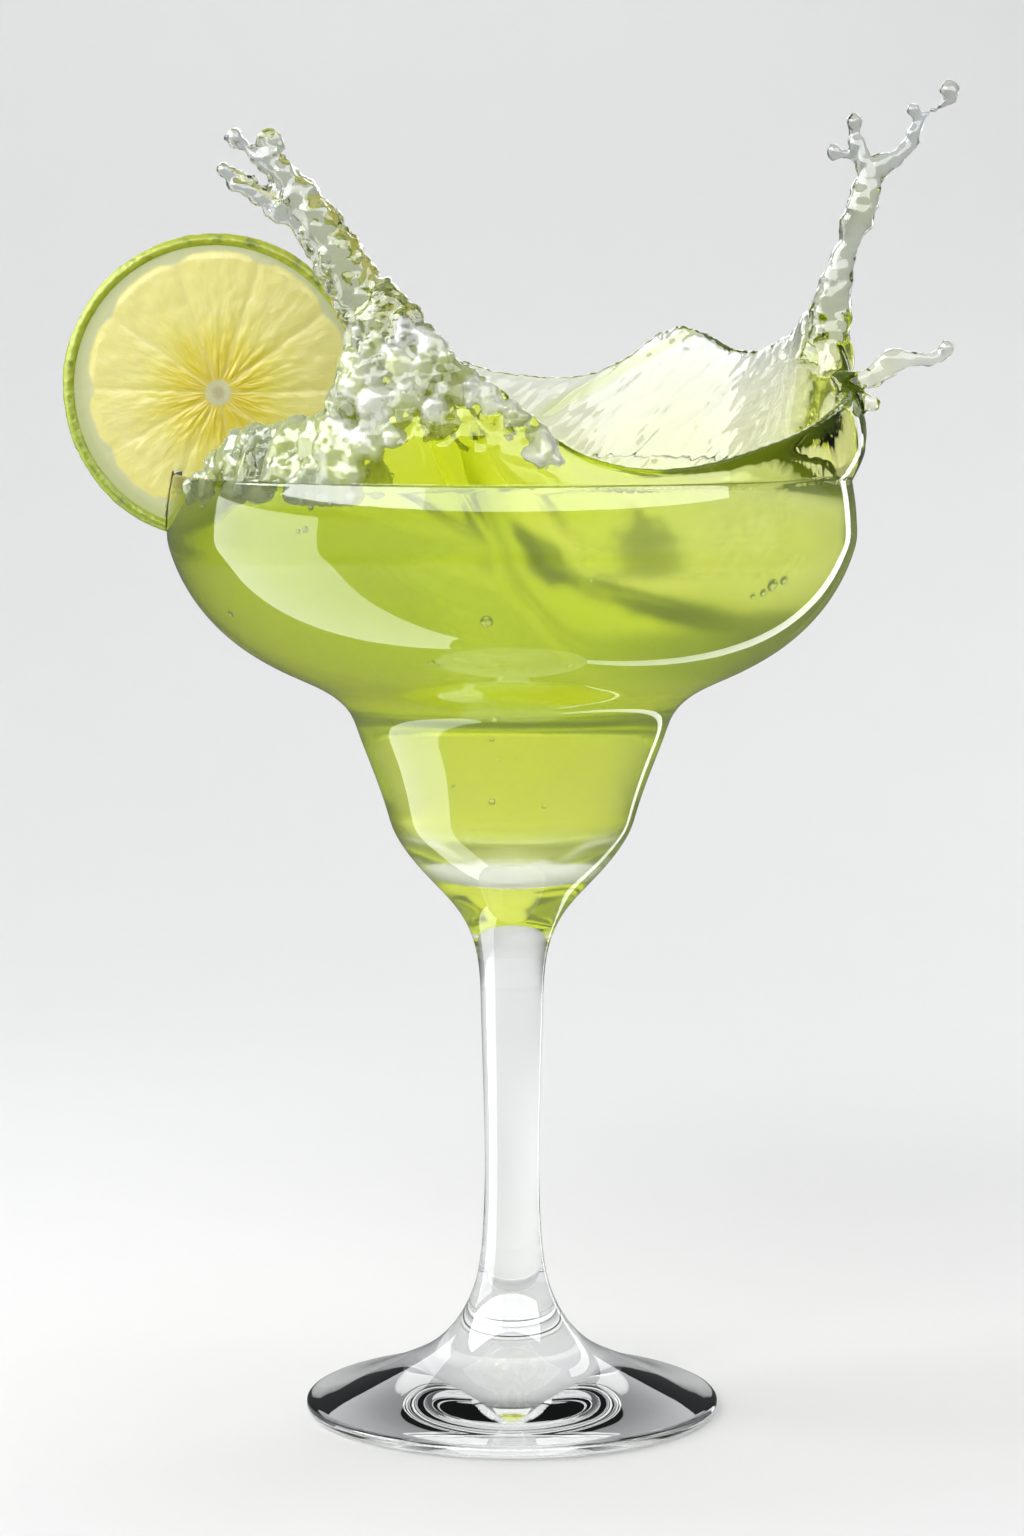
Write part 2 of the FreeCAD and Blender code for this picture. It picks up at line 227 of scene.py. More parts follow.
class Graph:
    """The node graph of one material."""

    def __init__(self, name: str) -> None:
        """Starts an empty material.

        Args:
            name: The material's name.
        """
        self.material = bpy.data.materials.new(name)
        self.material.use_nodes = True
        self.tree = self.material.node_tree
        self.tree.nodes.clear()
        self.output = self.tree.nodes.new("ShaderNodeOutputMaterial")

    def node(
        self, kind: str, settings: dict | None = None, inputs: dict | None = None, out: int | str = 0
    ) -> Value:
        """Adds one node.

        Args:
            kind: The node's type.
            settings: Its properties, which are set first.
            inputs: Values or links of its sockets, by name or number.
            out: The output that is wanted.

        Returns:
            That output.
        """
        made = self.tree.nodes.new(kind)
        for name, value in (settings or {}).items():
            setattr(made, name, value)
        for name, value in (inputs or {}).items():
            self.feed(made.inputs[name], value)
        return Value(self, made.outputs[out])

    def feed(self, socket: bpy.types.NodeSocket, value: Input) -> None:
        """Links or sets one input socket.

        Args:
            socket: The socket.
            value: A value to link, or the number, colour or vector to set.
        """
        if isinstance(value, Value):
            self.tree.links.new(value.socket, socket)
        elif isinstance(value, tuple) and len(value) == 3 and len(socket.default_value) == 4:
            socket.default_value = (*value, 1.0)
        else:
            socket.default_value = value

    def place(self) -> Value:
        """Object coordinates, in metres."""
        return self.node("ShaderNodeTexCoord", out="Object")

    def split(self, place: Value) -> tuple[Value, ...]:
        """The three parts of a vector."""
        parts = self.node("ShaderNodeSeparateXYZ", None, {"Vector": place}).socket.node.outputs
        return tuple(Value(self, part) for part in parts)

    def join(self, x: Value | float, y: Value | float, z: Value | float) -> Value:
        """A vector from its three parts."""
        return self.node("ShaderNodeCombineXYZ", None, {0: x, 1: y, 2: z})

    def noise(self, place: Value, scale: float, detail: float = 3.0, roughness: float = 0.5) -> Value:
        """Fractal noise from 0 to 1."""
        inputs = {"Vector": place, "Scale": scale, "Detail": detail, "Roughness": roughness}
        return self.node("ShaderNodeTexNoise", None, inputs, "Fac")

    def mix(self, share: Value | float, first: Input, second: Input) -> Value:
        """Mixes two colours."""
        return self.node("ShaderNodeMix", {"data_type": "RGBA"}, {0: share, 6: first, 7: second}, 2)

    def bump(self, height: Value, strength: float, distance: float) -> Value:
        """The normal of a surface raised by a height times a distance in metres."""
        inputs = {"Strength": strength, "Distance": distance, "Height": height}
        return self.node("ShaderNodeBump", None, inputs)

    def close(self, surface: Value, volume: Value | None = None) -> bpy.types.Material:
        """Ends the graph in its shaders.

        Args:
            surface: The shader of the surface.
            volume: The shader of the inside, if it has one.

        Returns:
            The finished material.
        """
        self.feed(self.output.inputs["Surface"], surface)
        if volume is not None:
            self.feed(self.output.inputs["Volume"], volume)
        return self.material

    def principled(self, inputs: dict, volume: Value | None = None) -> bpy.types.Material:
        """Ends the graph in a Principled shader with these sockets."""
        return self.close(self.node("ShaderNodeBsdfPrincipled", None, inputs), volume)


# ---------------------------------------------------------------- finishes
@dataclass(frozen=True)
class ClearGlass:
    """Polished drinking glass, with the faint waviness of a blown wall."""

    tint: Colour = (0.985, 0.995, 0.99)
    index: float = 1.5
    wave: float = 0.02 * MM
    wave_scale: float = 60.0
    rough_scale: float = 180.0
    rough_most: float = 0.012

    def material(self) -> bpy.types.Material:
        """Builds the material.

        Returns:
            The finished material.
        """
        graph = Graph("clear_glass")
        waves = graph.noise(graph.place(), self.wave_scale, 1.0)
        rough = graph.noise(graph.place(), self.rough_scale) * self.rough_most
        return graph.principled(
            {
                "Base Color": self.tint,
                "Roughness": rough,
                "IOR": self.index,
                "Transmission Weight": 1.0,
                "Normal": graph.bump(waves, 1.0, self.wave),
            }
        )


@dataclass(frozen=True)
class LimeDrink:
    """A lime cocktail: clear where it is thin, yellow-green and softly cloudy where it is deep, with a painted glow in
    its deep body.
    """

    tint: Colour = (0.985, 0.995, 0.95)
    deep: Colour = (0.895, 0.928, 0.0)
    density: float = 60.0
    jet_tint: Colour = (0.60, 0.63, 0.68)
    streak: Colour = (0.84, 0.86, 0.88)
    fold: Colour = (0.78, 0.86, 0.45)
    painted_glow_colour: Colour = (0.24, 0.31, 0.0)
    index: float = 1.34
    cloud: float = 0.15
    cloud_top: tuple[float, float] = (156.0 * MM, 163.0 * MM)
    jet_foot: tuple[float, float] = (176.0 * MM, 190.0 * MM)
    sheet_front: tuple[float, float] = (8.0 * MM, 22.0 * MM)
    streak_grain: tuple[float, float] = (900.0, 60.0)
    fold_height: float = 168.5 * MM
    fold_slope: float = 0.57
    fold_waver: float = 1.5 * MM
    fold_edge: tuple[float, float] = (0.5 * MM, 2.0 * MM)
    fold_left: tuple[float, float] = (2.0 * MM, 9.0 * MM)
    glow: float = 0.13
    ripple: float = 0.03 * MM

    def material(self) -> bpy.types.Material:
        """Builds the material.

        Returns:
            The finished material.
        """
        graph = Graph("lime_drink")
        place = graph.place()
        x, y, height = graph.split(place)
        body = 1 - height.step(*self.cloud_top)
        jets = height.step(*self.jet_foot)
        sheet = y.step(*self.sheet_front) * (1 - body)
        fine, long = self.streak_grain
        slanted = graph.join((height - x * 0.5) * fine, (x + height * 0.5) * long, 0.0)
        streaks = graph.noise(slanted, 1.0, 3.0, 0.6)
        waver = (streaks - 0.5) * self.fold_waver
        fold = (height - self.fold_height - x * self.fold_slope + waver).function("ABSOLUTE")
        fold = (1 - fold.step(*self.fold_edge)) * x.step(*self.fold_left)
        thin = graph.mix(jets, self.tint, self.jet_tint)
        thin = graph.mix(streaks.step(0.42, 0.66) * sheet * 0.9, thin, self.streak)
        thin = graph.mix(fold * sheet * 0.8, thin, self.fold)
        ripples = graph.noise(place, 240.0, 2.0) + jets * graph.noise(place, 420.0, 2.0) * 8.0
        inside = {"Color": self.deep, "Density": self.density}
        return graph.principled(
            {
                "Base Color": thin,
                "Roughness": body * self.cloud + graph.noise(place, 90.0) * 0.02,
                "IOR": self.index,
                "Transmission Weight": 1.0,
                "Coat Weight": jets,
                "Coat Roughness": 0.02,
                "Coat IOR": self.index,
                # Painted glow: the deep body gives off a little yellow-green light of its own, standing in for light
                # scattered inside the drink.
                "Emission Color": graph.mix(body, (0.0, 0.0, 0.0), self.painted_glow_colour),
                "Emission Strength": self.glow,
                "Normal": graph.bump(ripples, 1.0, self.ripple),
            },
            graph.node("ShaderNodeVolumeAbsorption", None, inside),
        )


@dataclass(frozen=True)
class Froth:
    """Churned drink: soft half-clear lumps, grey-green over the slice's side and whiter up the wave."""

    white: Colour = (0.94, 0.96, 0.87)
    grey: Colour = (0.52, 0.59, 0.38)
    green: Colour = (0.70, 0.78, 0.34)
    turns_white: tuple[float, float] = (-36 * MM, -22 * MM)
    index: float = 1.34
    clearness: float = 0.45
    milk: float = 0.5
    milk_depth: float = 0.004

    def material(self) -> bpy.types.Material:
        """Builds the material.

        Returns:
            The finished material.
        """
        graph = Graph("froth")
        place = graph.place()
        x, _, _ = graph.split(place)
        patch = graph.noise(place, 150.0, 3.0, 0.55).step(0.34, 0.60)
        shade = graph.mix(x.step(*self.turns_white), self.grey, self.white)
        return graph.principled(
            {
                "Base Color": graph.mix(patch, self.green, shade),
                "Roughness": 0.08 + 0.2 * patch,
                "IOR": self.index,
                "Transmission Weight": self.clearness,
                "Subsurface Weight": self.milk,
                "Subsurface Radius": (1.0, 1.0, 0.7),
                "Subsurface Scale": self.milk_depth,
                "Coat Weight": 0.6,
                "Coat Roughness": 0.05,
                "Normal": graph.bump(graph.noise(place, 520.0, 3.0), 0.6, 0.25 * MM),
            }
        )


@dataclass(frozen=True)
class BubbleSkin:
    """The bright thin skin of a bubble."""

    name: str = "bubble_skin"
    tint: Colour = (0.96, 0.98, 0.95)
    dim: Colour = (0.9024, 0.9212, 0.893)
    index: float = 1.6

    def material(self) -> bpy.types.Material:
        """Builds the material.

        Returns:
            The finished material.
        """
        graph = Graph(self.name)
        fleck = graph.noise(graph.place(), 500.0)
        return graph.principled(
            {
                "Base Color": graph.mix(fleck, self.tint, self.dim),
                "Roughness": fleck * 0.04,
                "IOR": self.index,
                "Transmission Weight": 1.0,
            }
        )


@dataclass(frozen=True)
class CitrusFlesh:
    """The cut face: pale pith, a core and yellow segments that deepen towards it, partly their own colour and partly
    painted glow of light shining through. Sizes are in metres.
    """

    middle: Point
    core: Point
    core_radius: float
    membranes: tuple[float, ...]
    pulp_radius: float
    deep: Colour = (0.66, 0.53, 0.010)
    warm_and_glow: Colour = (0.75, 0.64, 0.012)
    light: Colour = (0.82, 0.76, 0.25)
    membrane: Colour = (0.80, 0.73, 0.30)
    pith: Colour = (0.50, 0.54, 0.24)
    pith_edge: Colour = (0.60, 0.62, 0.33)
    sac: Colour = (0.95, 0.93, 0.66)
    heart: Colour = (0.48, 0.43, 0.22)
    heart_rim: Colour = (0.60, 0.58, 0.33)
    warm_glow_reach: tuple[float, float] = (3.0 * MM, 17.0 * MM)
    deep_glow_reach: tuple[float, float] = (2.0 * MM, 11.0 * MM)
    wall_reach: tuple[float, float] = (0.1 * MM, 0.5 * MM)
    corner_reach: tuple[float, float] = (0.2 * MM, 3.4 * MM)
    corner_depth: float = 0.9 * MM
    rim_waver: float = 0.7 * MM
    wall_waver: float = 0.5 * MM

    def material(self) -> bpy.types.Material:
        """Builds the material.

        Returns:
            The finished material.
        """
        graph = Graph("citrus_flesh")
        place = graph.place()
        x, _, z = graph.split(place)
        across, up = x - self.core[0], z - self.core[2]
        reach = hypotenuse(across, up)
        from_middle = hypotenuse(x - self.middle[0], z - self.middle[2])
        around = up.function("ARCTAN2", across)
        grain = graph.noise(graph.join(around * 14.0, reach * 260.0, 0.0), 1.0, 3.0, 0.6)
        blot = graph.noise(place, 120.0, 2.0)
        # The yellow is the pulp's own colour together with a painted glow of light shining through the slice. It
        # deepens towards the core and reaches out in uneven rays.
        rays = graph.noise(graph.join(around * 2.6, 0.0, 0.0), 1.0, 2.0, 0.7)
        ray_reach = reach * (1.5 - rays)
        pulp = graph.mix(1 - ray_reach.step(*self.warm_glow_reach), self.light, self.warm_and_glow)
        pulp = graph.mix(1 - ray_reach.step(*self.deep_glow_reach), pulp, self.deep)
        pulp = graph.mix((grain - 0.5) * 0.55 + (blot - 0.5) * 0.25, pulp, self.sac)
        walls = self.wall_mask(across, up, grain, self.wall_reach)
        corners = self.wall_mask(across, up, grain, self.corner_reach)
        face = graph.mix(walls * 0.3, pulp, self.membrane)
        # The segments' outer corners are rounded, so the pith reaches in a little between them.
        past_pulp = from_middle + ((grain - 0.5) * self.rim_waver + corners * self.corner_depth)
        rind_side = past_pulp.step(self.pulp_radius - 0.35 * MM, self.pulp_radius + 0.35 * MM)
        pith = graph.mix((from_middle - self.pulp_radius).step(0.0, 2.0 * MM), self.pith_edge, self.pith)
        face = graph.mix(rind_side, face, pith)
        heart = 1 - reach.step(self.core_radius - 0.3 * MM, self.core_radius + 0.3 * MM)
        heart_shade = graph.mix(1 - reach.step(0.6 * MM, 1.5 * MM), self.heart_rim, self.heart)
        face = graph.mix(heart, face, heart_shade)
        return graph.principled(
            {
                "Base Color": face,
                "Roughness": 0.42 + 0.2 * rind_side,
                "Specular IOR Level": 0.3,
                "Subsurface Weight": 0.25,
                "Subsurface Radius": (1.0, 0.8, 0.25),
                "Subsurface Scale": 0.002,
                "Coat Weight": 0.12 * (1 - rind_side),
                "Coat Roughness": 0.15,
                "Normal": graph.bump(grain + 0.4 * graph.noise(place, 900.0), 0.35, 0.35 * MM),
            }
        )

    def wall_mask(self, across: Value, up: Value, grain: Value, reach: tuple[float, float]) -> Value:
        """Where the thin walls between segments are.

        Args:
            across: Distance from the core along X.
            up: Distance from the core along Z.
            grain: Noise that makes the walls waver.
            reach: How far from a wall the mask is whole, and how far it is gone.

        Returns:
            1 on a wall and 0 off it.
        """
        mask: Value | float = 0.0
        for angle in self.membranes:
            c, s = math.cos(math.radians(angle)), math.sin(math.radians(angle))
            off = (across * s - up * c + (grain - 0.5) * self.wall_waver).function("ABSOLUTE")
            ahead = (across * c + up * s).step(0.0, 1.0 * MM)
            mask = (1 - off.step(*reach)) * ahead + mask
        return mask.function("MINIMUM", 1.0)


@dataclass(frozen=True)
class CitrusRind:
    """Waxy green rind with oil pits, with painted light that makes it yellower and lighter on top."""

    middle: Point
    radius: float
    lime: Colour = (0.27, 0.36, 0.012)
    painted_top_light_colour: Colour = (0.40, 0.46, 0.015)
    dark: Colour = (0.15, 0.21, 0.012)
    edge: Colour = (0.40, 0.47, 0.02)
    edge_depth: tuple[float, float] = (2.0 * MM, 1.5 * MM)

    def material(self) -> bpy.types.Material:
        """Builds the material.

        Returns:
            The finished material.
        """
        graph = Graph("citrus_rind")
        place = graph.place()
        x, _, z = graph.split(place)
        up = z - self.middle[2]
        from_middle = hypotenuse(x - self.middle[0], up)
        # Painted light: the rind turns yellower and lighter towards its top, as if lit from above.
        painted_top_light_share = up.step(-0.6 * self.radius, self.radius) * 0.8 + graph.noise(place, 60.0) * 0.4
        skin = graph.mix(painted_top_light_share, self.lime, self.painted_top_light_colour)
        skin = graph.mix(graph.noise(place, 350.0).step(0.5, 0.75), skin, self.dark)
        inward = 1 - from_middle.step(*(self.radius - depth for depth in self.edge_depth))
        colour = graph.mix(inward, skin, self.edge)
        pits = graph.node("ShaderNodeTexVoronoi", None, {"Vector": place, "Scale": 850.0}, "Distance")
        return graph.principled(
            {
                "Base Color": colour,
                "Roughness": 0.36 + graph.noise(place, 200.0) * 0.15,
                "Specular IOR Level": 0.35,
                "Coat Weight": 0.12,
                "Coat Roughness": 0.2,
                "Subsurface Weight": 0.1,
                "Subsurface Scale": 0.001,
                "Normal": graph.bump(pits, 0.6, 0.3 * MM),
            }
        )


# ---------------------------------------------------------------- shapes
def smooth_through(points: list[tuple[float, float]], steps: int) -> np.ndarray:
    """A natural cubic spline through points in a plane.

    Args:
        points: The (r, z) stations.
        steps: How many spans the result has between the first and the last station.

    Returns:
        The curve's points, one row each.
    """
    given = np.array(points, float)
    run = np.concatenate([[0], np.cumsum(np.hypot(*np.diff(given, axis=0).T))])
    gaps = np.diff(run)
    count = len(given)
    system = np.eye(count)
    right = np.zeros((count, 2))
    for k in range(1, count - 1):
        system[k, k - 1 : k + 2] = gaps[k - 1], 2 * (gaps[k - 1] + gaps[k]), gaps[k]
        rise = np.diff(given[k - 1 : k + 2], axis=0) / gaps[k - 1 : k + 1, None]
        right[k] = 6 * (rise[1] - rise[0])
    bend = np.linalg.solve(system, right)
    where = np.linspace(0, run[-1], steps + 1)
    span = np.clip(np.searchsorted(run, where, side="right") - 1, 0, count - 2)
    width = gaps[span][:, None]
    ahead = ((where - run[span]) / gaps[span])[:, None]
    behind = 1 - ahead
    curve = behind * given[span] + ahead * given[span + 1]
    return curve + width**2 / 6 * ((behind**3 - behind) * bend[span] + (ahead**3 - ahead) * bend[span + 1])


def arc(centre: tuple[float, float], radius: float, start: float, end: float, steps: int) -> np.ndarray:
    """The points of an arc in the (r, z) plane, with angles in degrees."""
    turns = np.radians(np.linspace(start, end, steps + 1))
    return np.column_stack([centre[0] + radius * np.cos(turns), centre[1] + radius * np.sin(turns)])


def grid_faces(rows: int, columns: int, rows_close: bool, columns_close: bool) -> list[tuple[int, ...]]:
    """The four-sided faces between points that are laid out in rows and columns.

    Args:
        rows: How many rows there are.
        columns: How many points each row has.
        rows_close: Whether the last row joins the first.
        columns_close: Whether the last point of a row joins its first.

    Returns:
        The faces, as vertex numbers.
    """
    faces = []
    for r in range(rows if rows_close else rows - 1):
        here, there = r * columns, (r + 1) % rows * columns
        for k in range(columns if columns_close else columns - 1):
            after = (k + 1) % columns
            faces.append((here + k, there + k, there + after, here + after))
    return faces


def new_object(
    name: str, vertices: np.ndarray, faces: list | np.ndarray, smooth: bool = True
) -> bpy.types.Object:
    """Makes a mesh object.

    Args:
        name: Its name.
        vertices: One row for each vertex, in metres.
        faces: The faces, as vertex numbers.
        smooth: Whether its faces are shaded smooth.

    Returns:
        The linked object.
    """
    mesh = bpy.data.meshes.new(name)
    mesh.from_pydata([tuple(v) for v in vertices], [], [tuple(f) for f in faces])
    mesh.validate()
    made = bpy.data.objects.new(name, mesh)
    bpy.context.scene.collection.objects.link(made)
    if smooth:
        mesh.shade_smooth()
    return made


def lathe(name: str, profile: np.ndarray, segments: int) -> bpy.types.Object:
    """Turns a profile about Z. Its first and last points lie on the axis.

    Args:
        name: The object's name.
        profile: The (r, z) points, in metres.
        segments: Steps round the axis.

    Returns:
        The closed object.
    """
    turns = np.arange(segments) * TURN / segments
    radius, height = profile[1:-1].T
    x, y = np.outer(np.cos(turns), radius), np.outer(np.sin(turns), radius)
    rings = np.stack([x, y, np.tile(height, (segments, 1))], axis=2)
    count = len(radius)
    vertices = np.vstack([rings.reshape(-1, 3), [0, 0, profile[0, 1]], [0, 0, profile[-1, 1]]])
    first, last = segments * count, segments * count + 1
    faces = grid_faces(segments, count, True, False)
    for s in range(segments):
        here, there = s * count, (s + 1) % segments * count
        faces.append((first, there, here))
        faces.append((here + count - 1, there + count - 1, last))
    made = new_object(name, vertices, faces)
    face_out(made)
    return made


def balls(
    name: str, places: np.ndarray, radii: np.ndarray, squash: np.ndarray | None = None
) -> bpy.types.Object:
    """Joins many small round balls into one mesh.

    Args:
        name: The object's name.
        places: Their middles, one row each.
        radii: Their radii.
        squash: How much of each ball's size is left along X, Y and Z, or None for round ones.

    Returns:
        The object.
    """
    work = bmesh.new()
    bmesh.ops.create_icosphere(work, subdivisions=2, radius=1.0)
    unit = np.array([v.co for v in work.verts])
    faces = np.array([[v.index for v in f.verts] for f in work.faces])
    work.free()
    sizes = radii[:, None] * (np.ones((len(places), 3)) if squash is None else squash)
    vertices = unit[None] * sizes[:, None, :] + places[:, None, :]
    numbers = faces[None] + (np.arange(len(places)) * len(unit))[:, None, None]
    return new_object(name, vertices.reshape(-1, 3), numbers.reshape(-1, 3))


def vertices_of(made: bpy.types.Object) -> np.ndarray:
    """A mesh's vertices.

    Args:
        made: The mesh's object.

    Returns:
        Their places, one row each.
    """
    flat = np.empty(len(made.data.vertices) * 3)
    made.data.vertices.foreach_get("co", flat)
    return flat.reshape(-1, 3)


def normals_of(made: bpy.types.Object) -> np.ndarray:
    """A mesh's vertex normals.

    Args:
        made: The mesh's object.

    Returns:
        The normals, one row each.
    """
    flat = np.empty(len(made.data.vertices) * 3, np.float32)
    made.data.vertex_normals.foreach_get("vector", flat)
    return flat.reshape(-1, 3).astype(float)


def move_vertices(made: bpy.types.Object, places: np.ndarray) -> None:
    """Puts a mesh's vertices at new places."""
    made.data.vertices.foreach_set("co", places.ravel())
    made.data.update()


def ramp(value: np.ndarray, low: float, high: float) -> np.ndarray:
    """A smooth step from 0 at low to 1 at high."""
    share = np.clip((value - low) / (high - low), 0, 1)
    return share * share * (3 - 2 * share)


def wander(places: np.ndarray, scale: float, octaves: int = 2) -> np.ndarray:
    """Smooth noise from about -1 to 1 at each place."""
    return np.array([noise.fractal(Vector(p) * scale, 1.0, 2.0, octaves) for p in places])


def azimuths(places: np.ndarray) -> np.ndarray:
    """Angles round Z, in degrees from 0 to 360."""
    return np.degrees(np.arctan2(places[:, 1], places[:, 0])) % 360


def spread(
    rng: np.random.Generator, places: np.ndarray, radii: tuple[float, float], wanted: int, gap: float
) -> tuple[np.ndarray, np.ndarray]:
    """Picks places that keep apart. Small ones are the most frequent.

    Args:
        rng: The random source.
        places: The places to pick from.
        radii: Smallest and largest radius.
        wanted: How many to pick at most.
        gap: Least distance between two, as a share of their radii added up.

    Returns:
        The rows picked and their radii.
    """
    rows: list[int] = []
    sizes: list[float] = []
    for row in rng.permutation(len(places))[: wanted * 8]:
        size = radii[0] + (radii[1] - radii[0]) * rng.random() ** 1.8
        if rows:
            far = np.linalg.norm(places[rows] - places[row], axis=1)
            if (far < gap * (np.array(sizes) + size)).any():
                continue
        rows.append(int(row))
        sizes.append(size)
        if len(rows) == wanted:
            break
    return np.array(rows), np.array(sizes)


def face_out(made: bpy.types.Object) -> None:
    """Turns the faces of a closed mesh outwards.

    Args:
        made: The mesh's object.
    """
    work = bmesh.new()
    work.from_mesh(made.data)
    bmesh.ops.recalc_face_normals(work, faces=work.faces)
    work.to_mesh(made.data)
    work.free()


def apply_modifier(made: bpy.types.Object, kind: str, settings: dict) -> None:
    """Adds a modifier and applies it.

    Args:
        made: The object.
        kind: The modifier's type.
        settings: Its properties.
    """
    modifier = made.modifiers.new(kind.lower(), kind)
    for name, value in settings.items():
        setattr(modifier, name, value)
    evaluated = made.evaluated_get(bpy.context.evaluated_depsgraph_get())
    mesh = bpy.data.meshes.new_from_object(evaluated)
    made.modifiers.clear()
    made.data = mesh


# ---------------------------------------------------------------- glass
@dataclass
class StemGlass:
    """The blown glass: a wide bowl, a narrow cup, a drawn stem and a round foot. Sizes are in millimetres."""

    rim_radius: float = 59.0
    lip_inset: float = 0.2
    lip_thickness: float = 2.0
    wall: float = 1.7
    foot_radius: float = 36.0
    foot_edge: float = 2.2
    foot_ring: float = 5.0
    punt_rise: float = 1.8
    floor_height: float = 97.4
    floor_rise: float = 6.0
    segments: int = 192
    outside: tuple[tuple[float, float], ...] = (
        (58.3, 149.4), (55.4, 143.1), (48.3, 134.9), (38.3, 128.8), (30.1, 124.4), (27.6, 121.5),
        (26.6, 119.0), (24.0, 112.1), (21.4, 104.5), (20.6, 102.0), (19.4, 99.7), (14.5, 93.5),
        (9.0, 87.2), (6.9, 83.0), (5.4, 71.1), (4.8, 49.0), (5.2, 29.8), (6.6, 21.5),
        (9.8, 15.1), (13.9, 10.9), (17.6, 8.7), (24.3, 5.7), (30.9, 3.1), (34.9, 2.2),
    )
    cup_stations: int = 9
    bead_start: float = 152.5
    bead_end: float = 162.6
    bead_fall: float = 0.0105

    def outer(self, steps: int = 150) -> np.ndarray:
        """The outside from lip to foot, in millimetres."""
        return smooth_through([*self.bead(), *self.outside], steps)

    def bead(self) -> list[tuple[float, float]]:
        """Stations of the softly drawn-in lip, from the top down to the widest radius."""
        heights = np.linspace(self.bead_end, self.bead_start, 6)
        return [(self.rim_radius - self.bead_fall * (z - self.bead_start) ** 2, float(z)) for z in heights]

    def inner(self, steps: int = 90) -> np.ndarray:
        """The inside, one wall's thickness within the bowl and cup, with a hollow floor.

        Args:
            steps: How many spans the result has.

        Returns:
            The (r, z) points from the lip down to the middle of the floor, in millimetres.
        """
        outside = [*self.bead(), *self.outside[: self.cup_stations + 1]]
        fine_steps = 400
        fine = smooth_through(outside, fine_steps)
        stations = [(self.inner_rim(), self.lip_height() - drop) for drop in (0.0, 1.5, 3.0, 4.5)]
        for r, z in self.outside[: self.cup_stations]:
            near = int(np.argmin(np.hypot(fine[:, 0] - r, fine[:, 1] - z)))
            along = fine[min(near + 1, fine_steps)] - fine[max(near - 1, 0)]
            along /= np.hypot(*along)
            stations.append((r - abs(along[1]) * self.wall, z + abs(along[0]) * self.wall))
        corner = self.outside[self.cup_stations][0] - self.wall
        for share in (0.965, 0.8, 0.5):
            stations.append((corner * share, self.floor_height + self.floor_rise * share**2))
        stations.append((0.0, self.floor_height - 0.05))
        return smooth_through(stations, steps)

    def lip_height(self) -> float:
        """Where the inside ends and the rounding of the lip starts, in millimetres."""
        return self.bead_end - 0.1

    def inner_rim(self) -> float:
        """The inside radius at the lip, in millimetres."""
        return self.rim_radius - self.lip_inset - self.lip_thickness

    def build(self) -> bpy.types.Object:
        """Turns the whole closed profile.

        Returns:
            The glass.
        """
        edge_radius, edge_height = self.bead()[0]
        half_lip = (edge_radius - self.inner_rim()) / 2
        lip_middle = (self.inner_rim() + half_lip, edge_height)
        lip = arc(lip_middle, half_lip, 180, 0, 10)
        edge_middle = (self.foot_radius - self.foot_edge / 2, self.foot_edge / 2)
        edge = arc(edge_middle, self.foot_edge / 2, 90, -90, 10)
        ring_inner = edge_middle[0] - self.foot_ring
        shares = np.linspace(1, 0, 16)
        punt = np.column_stack([ring_inner * shares, self.punt_rise * (1 - shares**2)])
        ring = np.linspace(edge[-1], punt[0], 4)[1:-1]
        inside = self.inner()[::-1]
        profile = np.vstack([inside, lip, self.outer()[1:-1], edge, ring, punt])
        return lathe("stem_glass", profile * MM, self.segments)


